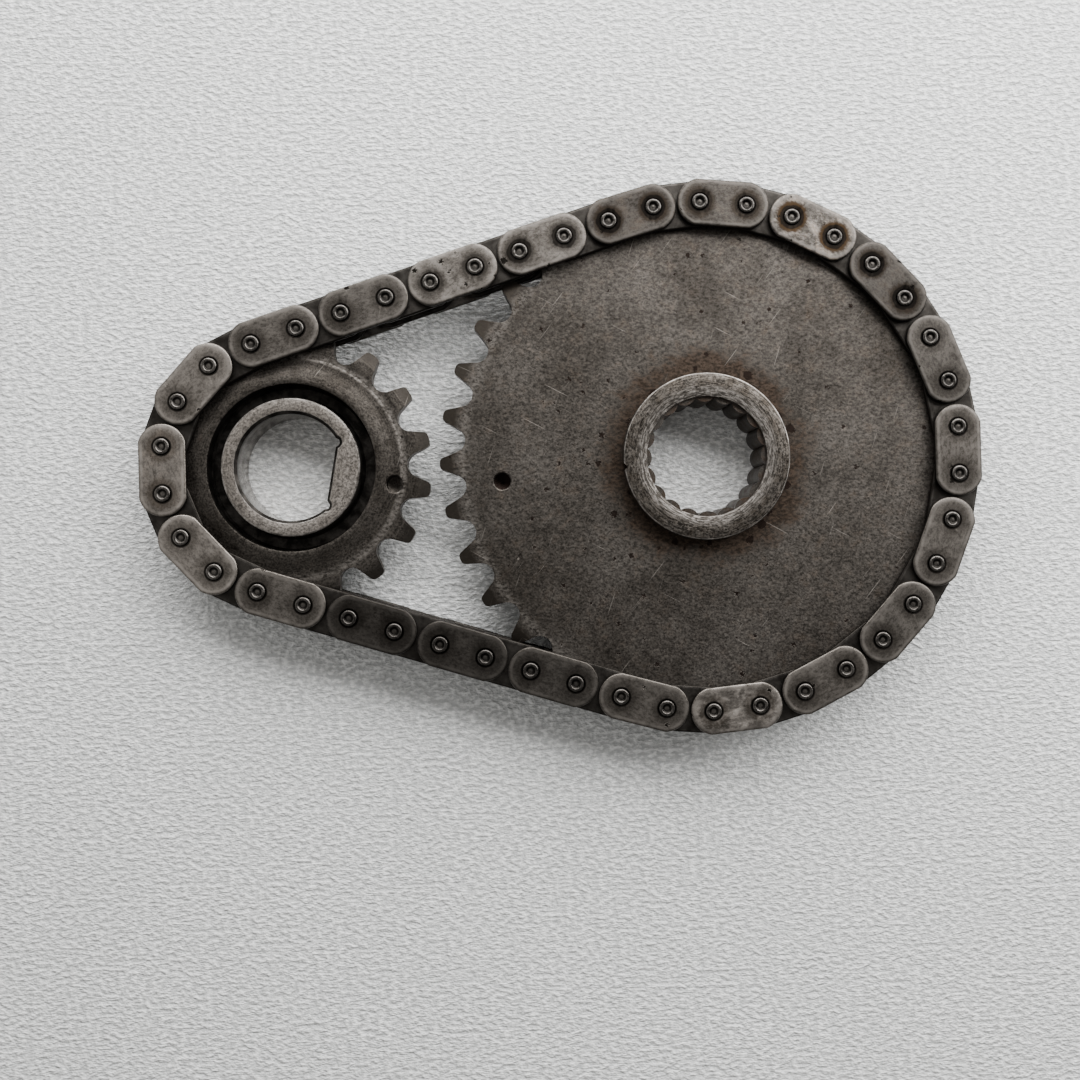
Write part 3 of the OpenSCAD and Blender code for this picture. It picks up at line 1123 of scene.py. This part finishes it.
# %% [markdown]
# The flat face ends in a painted highlight: a rim painted lighter where the edge starts to round. Outside
# it the edge rounds down and is painted dark again, as painted shade.

# %% Outer plate: painted rim highlight and edge shade
# Painted highlight: a band along the rounded edge is painted lighter.
rim = between(tree, spots["From Edge"], (0.3, 0.55), (0.7, 1.15))
rim = times(tree, rim, remap(tree, steel["Patches"], 0.3, 0.62, 0.25, 0.8))
colour = blend(tree, rim, rusty["Colour"], grey(0.22, 0.1))
# Painted shade: the outermost edge, where it rounds down, is painted dark.
brink = fade(tree, spots["From Edge"], 0.15, 0.42, 0.5)
colour = blend(tree, brink, colour, grey(0.03, 0.12))
print(outer_plate_finish.name, len(tree.nodes), "nodes so far")

# %% [markdown]
# Oil creeps out of the joint and darkens a soft halo round the pin. On a rusty plate, a border of old rust
# shows where the oil ended.

# %% Outer plate: oil
OLD_RUST = (0.06, 0.038, 0.021, 1)

halo = remap(tree, spots["From Pin"], 1.8, 4.3, 1.0, 0.1)
blotches = plus(tree, times(tree, steel["Patches"], 0.5), 0.25)
oil_and_shade = stained(tree, colour, grey(0.03, 0.15), halo, blotches, times(tree, own(tree, "oil"), 0.75))
border = plus(tree, spots["From Pin"], times(tree, steel["Streaks"], 1.4))
border = times(tree, fade(tree, border, 3.4, 4.2), own(tree, "rust"))
colour = blend(tree, border, oil_and_shade["Colour"], OLD_RUST)
print(outer_plate_finish.name, len(tree.nodes), "nodes so far")

# %% [markdown]
# Black are the groove round the pin, with what has spilled from it, and the pits; the side walls are
# painted black as painted shade. Last comes the tone of the link itself.

# %% Outer plate: black places, painted wall shade and tone
groove = fade(tree, spots["From Pin"], 1.9, 2.15)
spill = plus(tree, spots["From Pin"], times(tree, steel["Patches"], 1.2))
spill = times(tree, fade(tree, spill, 2.95, 3.25), remap(tree, own(tree, "oil"), 0.55, 1.0))
groove = larger(tree, groove, times(tree, spill, 0.9))
# Painted shade: the side walls of the plate are painted near black.
off_middle = minus(tree, spots["From Middle"], OUTER_PLATE_Z + PLATE_T / 2)
wall = fade(tree, calc(tree, "ABSOLUTE", off_middle), 0.2, 0.42)
dark = larger(tree, larger(tree, groove, wall), steel["Pits"])
colour = blend(tree, dark, colour, grey(0.012, 0.15))
colour = tinted(tree, colour, own(tree, "tone"))

rough = plus(tree, remap(tree, steel["Patches"], *NOISE_RANGE, 0.38, 0.46), times(tree, rusty["Mask"], 0.2))
height = minus(tree, steel["Grain"], times(tree, steel["Pits"], 1.5))
end_finish(outer_plate_finish, colour, rough, height, 0.02)

# %% [markdown]
# ## The inner plates
#
# They lie lower, between their neighbours, where the oil collects. What shows of them is the dark wedge
# between two outer plates, the smoothest and darkest steel of the chain: dark partly from oil and partly
# as painted shade, with a painted highlight along the rounded edge and painted shade on the very edge and
# the side walls.

# %% Finish: inner plate
inner_plate_finish, tree, where = new_finish("inner plate steel")
steel = worn(tree, where, own(tree, "seed"), 0.25, 0.12)
spots = place(tree, plate_places, {"Place": where})
tone = remap(tree, steel["Patches"], *NOISE_RANGE)
# Very dark steel: partly oil, partly painted shade from lying between the outer plates.
colour = blend(tree, tone, grey(0.022, 0.12), grey(0.055, 0.1))
# Painted highlight: a lighter line along the rounded edge.
rim = times(tree, fade(tree, spots["From Edge"], 0.35, 0.7, 0.5), tone)
colour = blend(tree, rim, colour, grey(0.12, 0.08))
# Painted shade: the outermost edge is painted near black.
brink = fade(tree, spots["From Edge"], 0.2, 0.45, 0.85)
colour = blend(tree, brink, colour, grey(0.012, 0.12))
# Painted shade: the side walls are painted near black.
off_middle = minus(tree, spots["From Middle"], INNER_PLATE_Z + PLATE_T / 2)
wall = fade(tree, calc(tree, "ABSOLUTE", off_middle), 0.25, 0.5)
colour = blend(tree, larger(tree, wall, steel["Pits"]), colour, grey(0.02, 0.15))
rough = remap(tree, steel["Grain"], *NOISE_RANGE, 0.34, 0.5)
end_finish(inner_plate_finish, colour, rough, steel["Grain"], 0.012)

# %% [markdown]
# ## Pins and bushes
#
# The punch has left a bright, hard ring on each pin end. Inside it the dimple is painted dark with a
# lighter spot in its middle, and the edge outside the ring is dark too.

# %% Finish: pin
pin_finish, tree, where = new_finish("riveted pin steel")
steel = worn(tree, where, own(tree, "seed"), 0.1)
spots = place(tree, plate_places, {"Place": where})
ring = between(tree, spots["From Pin"], (0.86, 1.02), (1.48, 1.62))
ring_colour = blend(tree, remap(tree, steel["Streaks"], 0.35, 0.65), grey(0.05, 0.1), grey(0.135, 0.08))
heart = fade(tree, spots["From Pin"], 0.3, 0.62)
colour = blend(tree, heart, grey(0.014, 0.1), grey(0.11, 0.1))
colour = blend(tree, ring, colour, ring_colour)
colour = tinted(tree, colour, remap(tree, own(tree, "tone"), 0.4, 1.6, 0.65, 1.2))
colour = tinted(tree, colour, remap(tree, steel["Grain"], *NOISE_RANGE, 0.8, 1.2))
rough = remap(tree, steel["Grain"], *NOISE_RANGE, 0.24, 0.4)
end_finish(pin_finish, colour, rough, steel["Grain"], 0.012)

# %% [markdown]
# The bush is only seen from the side, between the plates. It is the plain grey of hardened steel under a
# film of oil.

# %% Finish: bush
bush_finish, tree, where = new_finish("hardened bush steel")
steel = worn(tree, where, own(tree, "seed"), 0.1)
colour = blend(tree, remap(tree, steel["Patches"], *NOISE_RANGE), grey(0.10, 0.06), grey(0.24, 0.04))
rough = remap(tree, steel["Patches"], *NOISE_RANGE, 0.25, 0.42)
end_finish(bush_finish, colour, rough, steel["Grain"], 0.006)

# %% [markdown]
# ## The large sprocket's face
#
# A broad sheet of stained steel: finely mottled grey brown, sprinkled with dark pits and a few scratches.
# Near the hub the pits are more and larger.

# %% Finish: large face
HALO_R = 16.4
WARMTH = (0.90, 0.68, 0.50, 1)

large_face_finish, tree, where = new_finish("large sprocket face")
rings = place(tree, ring_places, {"Place": where})
rotten = fade(tree, rings["Radius"], HALO_R, HALO_R + 9.0)
steel = worn(tree, where, pit_share=plus(tree, times(tree, rotten, 0.3), 0.38),
             pit_size=plus(tree, times(tree, rotten, 0.2), 0.2))

tone = weighted(tree, (steel["Broad"], 0.6), (steel["Patches"], 0.4))
colour = blend(tree, remap(tree, tone, 0.33, 0.67), grey(0.038, 0.14), grey(0.076, 0.11))
mottle = weighted(tree, (steel["Grain"], 0.45), (steel["Streaks"], 0.75))
colour = tinted(tree, colour, remap(tree, mottle, 0.42, 0.8, 0.48, 1.9))
brown = stained(tree, colour, tinted(tree, colour, WARMTH), 0.3, steel["Patches"], 0.6)
print(large_face_finish.name, len(tree.nodes), "nodes so far")

# %% [markdown]
# Round the hub runs a halo of rust, which the patches eat into. A ring just inside the teeth, under the
# inner
# edge of the chain, is painted darker: painted shade of the chain.

# %% Large face: rust and painted chain shade
RUBBED_FROM = 48.0
HUB_RUST = (0.060, 0.041, 0.029, 1)
DEEP_HUB_RUST = (0.020, 0.014, 0.010, 1)

halo = fade(tree, rings["Radius"], HALO_R, HALO_R + 12.0)
eaten = weighted(tree, (steel["Patches"], 0.8), (steel["Broad"], 1.1), (mottle, 0.5))
rust = blend(tree, remap(tree, steel["Streaks"], 0.4, 0.62), DEEP_HUB_RUST, HUB_RUST)
rusty = stained(tree, brown["Colour"], rust, halo, minus(tree, eaten, 0.88), 0.85)
# Painted shade: a ring just inside the chain, under its inner edge, is painted darker.
chain_shade = between(tree, rings["Radius"], (RUBBED_FROM - 8, RUBBED_FROM), (RUBBED_FROM, RUBBED_FROM + 3), 0.5)
darkened = stained(tree, rusty["Colour"], grey(0.03, 0.15), chain_shade, steel["Patches"], 0.5)
print(large_face_finish.name, len(tree.nodes), "nodes so far")

# %% [markdown]
# The link plates rub a lighter band at the foot of the teeth, and the tips beyond it are dark. The drilled
# mark is painted black inside as painted shade, and the pits are black.

# %% Large face: teeth, scratches and holes
TIPS_FROM = 50.6
DRILLED = ((5.35, 5.5), (8.3, 8.55))
# Black of the pits, and the painted shade inside the drilled mark.
PIT_BLACK = (0.016, 0.011, 0.009, 1)

band = between(tree, rings["Radius"], (RUBBED_FROM - 0.5, RUBBED_FROM + 1.5),
               (TIPS_FROM - 1.2, TIPS_FROM + 0.2))
rubbed = times(tree, band, remap(tree, steel["Streaks"], 0.42, 0.62, 0.0, 0.75))
colour = blend(tree, rubbed, darkened["Colour"], grey(0.16, 0.1))
tips = remap(tree, rings["Radius"], TIPS_FROM, TIPS_FROM + 1.4, 0.0, 0.9)
colour = blend(tree, tips, colour, grey(0.03, 0.18))
colour = blend(tree, times(tree, steel["Scratches"], 0.35), colour, grey(0.34, 0.1))
# Painted shade: the inside of the drilled mark is painted black.
hole = times(tree, between(tree, rings["Height"], *DRILLED),
             fade(tree, rings["Radius"], RUBBED_FROM - 1, RUBBED_FROM))
colour = blend(tree, larger(tree, times(tree, steel["Pits"], 0.9), hole), colour, PIT_BLACK)

rough = plus(tree, remap(tree, steel["Grain"], *NOISE_RANGE, 0.4, 0.58), times(tree, rusty["Mask"], 0.15))
height = weighted(tree, (steel["Grain"], 1.0), (steel["Pits"], -1.6), (steel["Scratches"], -0.5))
end_finish(large_face_finish, colour, rough, height, 0.03)

# %% [markdown]
# ## The hub ring
#
# It stood proud and was handled, so it is lighter and speckled, with short arcs from the lathe. The dished
# inner rim is nearly polished, and the low part near the plate is brown.

# %% Finish: hub ring
HUB_BROWN = (0.05, 0.032, 0.02, 1)

hub_finish, tree, where = new_finish("hub ring steel")
steel = worn(tree, where, 17.0, 0.5, 0.12)
rings = place(tree, ring_places, {"Place": where})
arcs = place(tree, turning_marks, {"Place": where, "Radius": rings["Radius"]})["Arcs"]
colour = blend(tree, remap(tree, steel["Patches"], *NOISE_RANGE), grey(0.048, 0.18), grey(0.10, 0.12))
speckle = weighted(tree, (steel["Grain"], 0.75), (arcs, 0.22))
colour = tinted(tree, colour, remap(tree, speckle, 0.36, 0.62, 0.36, 1.6))
dished = times(tree, fade(tree, rings["Radius"], 13.2, 14.8),
               remap(tree, steel["Streaks"], 0.35, 0.6, 0.35, 0.85))
polished = blend(tree, remap(tree, arcs, 0.3, 0.8), grey(0.08, 0.12), grey(0.34, 0.08))
colour = blend(tree, dished, colour, polished)
low_part = fade(tree, rings["Height"], 9.4, 11.1)
brown = stained(tree, colour, HUB_BROWN, low_part, steel["Patches"], 0.9)
colour = blend(tree, times(tree, steel["Pits"], 0.8), brown["Colour"], grey(0.03, 0.2))
rough = plus(tree, remap(tree, steel["Grain"], *NOISE_RANGE, 0.3, 0.5), times(tree, brown["Mask"], 0.2))
height = weighted(tree, (steel["Grain"], 1.0), (steel["Pits"], -1.5), (arcs, 0.6))
end_finish(hub_finish, colour, rough, height, 0.03)

# %% [markdown]
# ## The small sprocket's face
#
# One turned part: a grainy light boss inside, and outside the groove a brown grey shoulder with a painted
# highlight ring at its foot, and darker teeth. The drilled mark is painted black inside, as painted shade.
# They share one field of worn steel, and the zones follow the radius.

# %% Finish: small face
SHOULDER_BROWN = (0.07, 0.046, 0.032, 1)
# Painted shade inside the drilled mark, and the black of the pits.
HOLE_BLACK = (0.012, 0.010, 0.009, 1)

small_face_finish, tree, where = new_finish("small sprocket face")
steel = worn(tree, where, 31.0, 0.3, 0.12)
rings = place(tree, ring_places, {"Place": where})
arcs = place(tree, turning_marks, {"Place": where, "Radius": rings["Radius"]})["Arcs"]
tone = remap(tree, weighted(tree, (steel["Broad"], 0.5), (steel["Patches"], 0.5)), 0.33, 0.67)
boss = blend(tree, tone, grey(0.17, 0.12), grey(0.26, 0.1))
outer = blend(tree, tone, grey(0.034, 0.15), grey(0.066, 0.12))
inside = fade(tree, rings["Radius"], BOSS_R, BOSS_R + 0.2)
speckle = plus(tree, steel["Grain"], times(tree, minus(tree, arcs, 0.5), 0.12))
speckle = remap(tree, speckle, 0.3, 0.7, 0.45, 1.55)
colour = tinted(tree, blend(tree, inside, outer, boss), speckle)
# Painted highlight: a ring along the ridge at the foot of the shoulder is painted lighter, broken by
# streaks.
rim = between(tree, rings["Radius"], (21.6, 22.3), (22.8, 23.8))
rim = times(tree, rim, remap(tree, steel["Streaks"], 0.38, 0.62, 0.0, 0.85))
colour = blend(tree, rim, colour, grey(0.21, 0.1))
brown = stained(tree, colour, SHOULDER_BROWN, 0.22, steel["Patches"], 0.45)
tips = remap(tree, rings["Radius"], 24.9, 27.4, 0.0, 0.85)
colour = blend(tree, tips, brown["Colour"], grey(0.032, 0.14))
colour = blend(tree, times(tree, steel["Scratches"], 0.35), colour, grey(0.34, 0.1))
# Painted shade: the walls of the drilled mark are painted black.
hole = times(tree, between(tree, rings["Height"], (6.5, 6.7), (8.3, 8.55)),
             fade(tree, rings["Radius"], 22.9, 23.2))
colour = blend(tree, larger(tree, times(tree, steel["Pits"], 0.8), hole), colour, HOLE_BLACK)
rough = remap(tree, steel["Grain"], *NOISE_RANGE, 0.38, 0.54)
height = minus(tree, steel["Grain"], times(tree, steel["Pits"], 1.5))
end_finish(small_face_finish, colour, rough, height, 0.025)

# %% [markdown]
# ## Walls, grooves and edges
#
# The walls of the teeth are grey steel, stained brown in patches. The groove of the small sprocket is
# black:
# partly black oxide, partly painted shade in the deep groove and on the chamfer round the bore. Thin bright
# lines along the edges are painted highlights, and the D-shaped bore is polished by its shaft: it mirrors
# the table, and is painted dark near its top as painted shade.

# %% Finishes: walls, groove, edge and bore
WALL_BROWN = (0.06, 0.036, 0.022, 1)


def tooth_wall(name):
    material, tree, where = new_finish(name)
    steel = worn(tree, where, pit_share=0.2, pit_size=0.1)
    colour = blend(tree, remap(tree, steel["Grain"], *NOISE_RANGE), grey(0.04, 0.12), grey(0.10, 0.1))
    brown = stained(tree, colour, WALL_BROWN, 0.45, steel["Patches"], 0.85)
    rough = remap(tree, steel["Grain"], *NOISE_RANGE, 0.35, 0.5)
    rough = plus(tree, rough, times(tree, brown["Mask"], 0.15))
    return end_finish(material, brown["Colour"], rough, steel["Grain"], 0.02)


large_wall_finish = tooth_wall("large sprocket walls")
small_wall_finish = tooth_wall("small sprocket walls")

# Black partly for black oxide in the groove, partly painted shade there and on the chamfers it covers.
groove_finish, tree, where = new_finish("greasy groove")
steel = worn(tree, where, 53.0, 0.2)
colour = blend(tree, remap(tree, steel["Patches"], 0.35, 0.7), grey(0.012, 0.1), grey(0.05, 0.1))
rough = remap(tree, steel["Grain"], *NOISE_RANGE, 0.45, 0.6)
end_finish(groove_finish, colour, rough, steel["Grain"], 0.02)

# Painted highlight: the finish of the thin bright lines along edges.
edge_highlight_finish, tree, where = new_finish("painted edge highlight")
steel = worn(tree, where, 71.0, 0.3, 0.08)
colour = blend(tree, remap(tree, steel["Patches"], 0.3, 0.65), grey(0.10, 0.1), grey(0.32, 0.08))
colour = tinted(tree, colour, remap(tree, steel["Grain"], *NOISE_RANGE, 0.6, 1.4))
rough = remap(tree, steel["Grain"], *NOISE_RANGE, 0.3, 0.45)
end_finish(edge_highlight_finish, colour, rough, steel["Grain"], 0.01)

bore_finish, tree, where = new_finish("polished bore")
steel = worn(tree, where, 89.0, 0.2, 0.08)
rings = place(tree, ring_places, {"Place": where})
colour = blend(tree, remap(tree, steel["Patches"], *NOISE_RANGE), grey(0.16, 0.08), grey(0.42, 0.05))
# Painted shade: the bore is painted dark near its top.
oil_and_shade = remap(tree, rings["Height"], BOSS_TOP - 2.2, BOSS_TOP - 0.7, 0.0, 0.93)
colour = blend(tree, oil_and_shade, colour, grey(0.02, 0.1))
rough = remap(tree, steel["Grain"], *NOISE_RANGE, 0.16, 0.3)
end_finish(bore_finish, colour, rough, steel["Grain"], 0.006)

# %% [markdown]
# ## Placing the pieces
#
# Each link copies its master mesh, turned along its two pins. The copy carries its own numbers as mesh
# attributes: a seed that shifts the pattern of its steel, and how light, oily, rusty or pitted it is. One
# material can then serve all 22 links and still leave no two alike.

# %% Where a link goes and which body it follows
home = {node: body for body, nodes in frame["record"]["behaviour"]["bodies"].items() for node in nodes}


def node_name(i):
    """Links alternate: an outer link starts at every even pin."""
    kind, number = ("outer", i // 2 + 1) if i % 2 == 0 else ("inner", (i + 1) // 2)
    return f"{kind}_link_{number:02d}"


def link_place(i):
    start = pin_at(i)
    along = pin_at(i + 1) - start
    turn = Matrix.Rotation(math.atan2(along.y, along.x), 4, "Z")
    return Matrix.Translation((start.x * MM, start.y * MM, MID_Z * MM)) @ turn


# Looks of single outer links by number, where they differ from the plain ones: tone scales the
# brightness, the others run from 0 to 1.
PLAIN = {"tone": 1.0, "oil": 0.5, "rust": 0.0, "peel": 0.0, "pits": 0.2}
OUTER_LOOKS = {
    1: {"tone": 0.95, "oil": 0.55},
    2: {"tone": 0.8},
    3: {"oil": 0.75, "pits": 1.0, "peel": 0.25},
    4: {"tone": 0.92, "oil": 0.95, "pits": 0.5, "peel": 0.15},
    5: {"tone": 0.45, "oil": 1.0, "rust": 0.35},
    6: {"tone": 0.52, "oil": 0.8, "rust": 0.25},
    7: {"tone": 0.7, "oil": 1.0, "rust": 1.0, "peel": 1.0, "pits": 0.8},
    8: {"tone": 0.4, "oil": 1.0, "rust": 0.3},
    9: {"tone": 0.55},
    10: {"tone": 0.85},
    13: {"tone": 1.15},
    14: {"tone": 1.25, "oil": 0.45, "rust": 0.15, "peel": 0.6, "pits": 0.7},
    15: {"pits": 0.6},
    16: {"tone": 0.62},
    17: {"tone": 0.42},
    18: {"tone": 0.39},
    19: {"tone": 1.05},
    20: {"tone": 1.8},
    21: {"tone": 1.65, "rust": 0.15, "pits": 0.6},
    22: {"tone": 1.5},
}
MASTERS = [outer_master, inner_master]
LINK_FINISHES = [(outer_plate_finish, pin_finish), (inner_plate_finish, bush_finish)]
spread = random.Random(11)


def with_looks(mesh, looks):
    for name, value in looks.items():
        attribute = mesh.attributes.new(name, "FLOAT", "POINT")
        attribute.data.foreach_set("value", [value] * len(mesh.vertices))
    return mesh


def place_link(i):
    name = node_name(i)
    looks = dict(PLAIN)
    if i % 2 == 0:
        looks.update(OUTER_LOOKS.get(i // 2 + 1, {}))
    looks["seed"] = spread.uniform(0, 400)
    piece = in_scene(name + "_steel", with_looks(MASTERS[i % 2].copy(), looks))
    for finish in LINK_FINISHES[i % 2]:
        piece.data.materials.append(finish)
    piece.matrix_world = link_place(i)
    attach(piece, home[name])
    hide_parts(name)


for i in range(LINKS):
    place_link(i)
print("links placed", LINKS)

# %% [markdown]
# The three sprocket pieces stand where they were drawn. The small one was drawn round the origin, so it
# moves to its own axis.

# %% The sprocket pieces
def place_sprocket(name, mesh, node, finishes, x=0.0):
    piece = in_scene(name, mesh)
    for finish in finishes:
        piece.data.materials.append(finish)
    piece.location.x = x * MM
    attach(piece, home[node])
    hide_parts(node)
    return piece


# Each tuple follows the material numbers from FACE on, as far as they are used: face, wall, painted edge
# highlight, groove and bore.
large_piece = place_sprocket("large_toothed_plate", large_plate, "large_sprocket_plate",
                             (large_face_finish, large_wall_finish))
hub_piece = place_sprocket("large_hub_ring", hub, "large_sprocket_hub",
                           (hub_finish, large_wall_finish, edge_highlight_finish))
small_piece = place_sprocket("small_toothed_hub", small_sprocket, "small_sprocket",
                             (small_face_finish, small_wall_finish, edge_highlight_finish, groove_finish,
                              bore_finish), -CENTRES)
for piece in (large_piece, hub_piece, small_piece):
    used = sorted({face.material_index for face in piece.data.polygons})
    print(piece.name, "uses finishes", used)

# %% [markdown]
# ## The table
#
# The drive lies on a pale sheet with a fine wrinkled skin. The wrinkles are wider than they are high, and
# they catch the light as small flecks. Their crests are also painted lighter and their valleys darker:
# painted highlight and painted shade.

# %% Floor
FLOOR_REACH = 3.0
PER_METRE = (900.0, 1500.0, 900.0)
# Colours of the painted shade in the valleys and the painted highlight on the crests.
VALLEY = (0.55, 0.555, 0.55, 1)
CREST = (1.0, 1.0, 0.985, 1)
DULL = (0.62, 0.63, 0.62, 1)

floor_finish, tree, where = new_finish("pale wrinkled sheet", metallic=0.0)
waves = noise(tree, vector_calc(tree, "MULTIPLY", where, PER_METRE), 0.8, 2, 0.55)
wrinkle = remap(tree, waves, 0.32, 0.68)
# Painted highlight and shade: crests of the wrinkles lighter, valleys darker.
colour = blend(tree, calc(tree, "POWER", wrinkle, 1.6), VALLEY, CREST)
soft = noise(tree, where, 40.0, 3, 0.5)
colour = blend(tree, remap(tree, soft, *NOISE_RANGE, 0.0, 0.22), colour, DULL)
rough = remap(tree, wrinkle, 0.2, 0.9, 0.6, 0.3)
end_finish(floor_finish, colour, rough, waves, 0.7)

corners = [(x * FLOOR_REACH, y * FLOOR_REACH, 0) for x, y in ((-1, -1), (1, -1), (1, 1), (-1, 1))]
floor_mesh = bpy.data.meshes.new("floor")
floor_mesh.from_pydata(corners, [], [(0, 1, 2, 3)])
floor_mesh.materials.append(floor_finish)
floor = in_scene("floor", floor_mesh)
print("floor", 2 * FLOOR_REACH, "m wide")

# %% [markdown]
# ## Light
#
# Bare metal shows what it reflects. Seen from above, its flat faces mirror the ceiling, and its rounded
# edges mirror the room. So the room is dark overhead and light near the horizon, most of all on the far
# side: faces stay dark and edges shine. One big soft panel on the far side gives the table its light, and
# since it is near, the light falls off towards the viewer.

# %% Room and panel
world = bpy.data.worlds.new("room")
world.use_nodes = True
tree = world.node_tree
sky = add(tree, "SeparateXYZ", {0: add(tree, "TexCoord").outputs["Generated"]}).outputs
overhead = remap(tree, sky["Z"], 0.55, 0.95)
far_side = weighted(tree, (sky["Y"], 0.83), (sky["X"], -0.56))
brightness = times(tree, remap(tree, far_side, -0.7, 0.7, 0.42, 1.25),
                   remap(tree, overhead, 0.0, 1.0, 0.66, 0.36))
tree.links.new(brightness, tree.nodes["Background"].inputs["Strength"])
tree.nodes["Background"].inputs["Color"].default_value = (1.0, 0.99, 0.97, 1)
bpy.context.scene.world = world

panel = bpy.data.lights.new("panel", "AREA")
panel.shape = "RECTANGLE"
panel.size = 1.1
panel.size_y = 0.4
panel.energy = 11.3
panel_object = in_scene("panel", panel)
panel_object.location = (0.11, 0.35, 0.235)
aim = Vector((-0.03, 0.0, 0.0)) - panel_object.location
panel_object.rotation_euler = aim.to_track_quat("-Z", "Y").to_euler()
print("panel", round(aim.length, 2), "m from what it lights")

# %% [markdown]
# ## Camera
#
# The camera looks straight down from a little over twenty centimetres, a degree or so off square.

# %% Camera
lens = bpy.data.cameras.new("camera")
lens.sensor_width = 36
lens.lens = 36.1
lens.clip_start = 0.01
camera = in_scene("camera", lens)
roll = Matrix.Rotation(math.radians(1.55), 3, "Z")
pitch = Matrix.Rotation(math.radians(-0.25), 3, "X")
yaw = Matrix.Rotation(math.radians(1.1), 3, "Y")
looking = (roll @ pitch @ yaw).transposed().to_4x4()
camera.matrix_world = Matrix.Translation((-0.0384, -0.0170, 0.22955)) @ looking
bpy.context.scene.camera = camera
print("camera", round(camera.matrix_world.translation.z, 3), "m above the table")
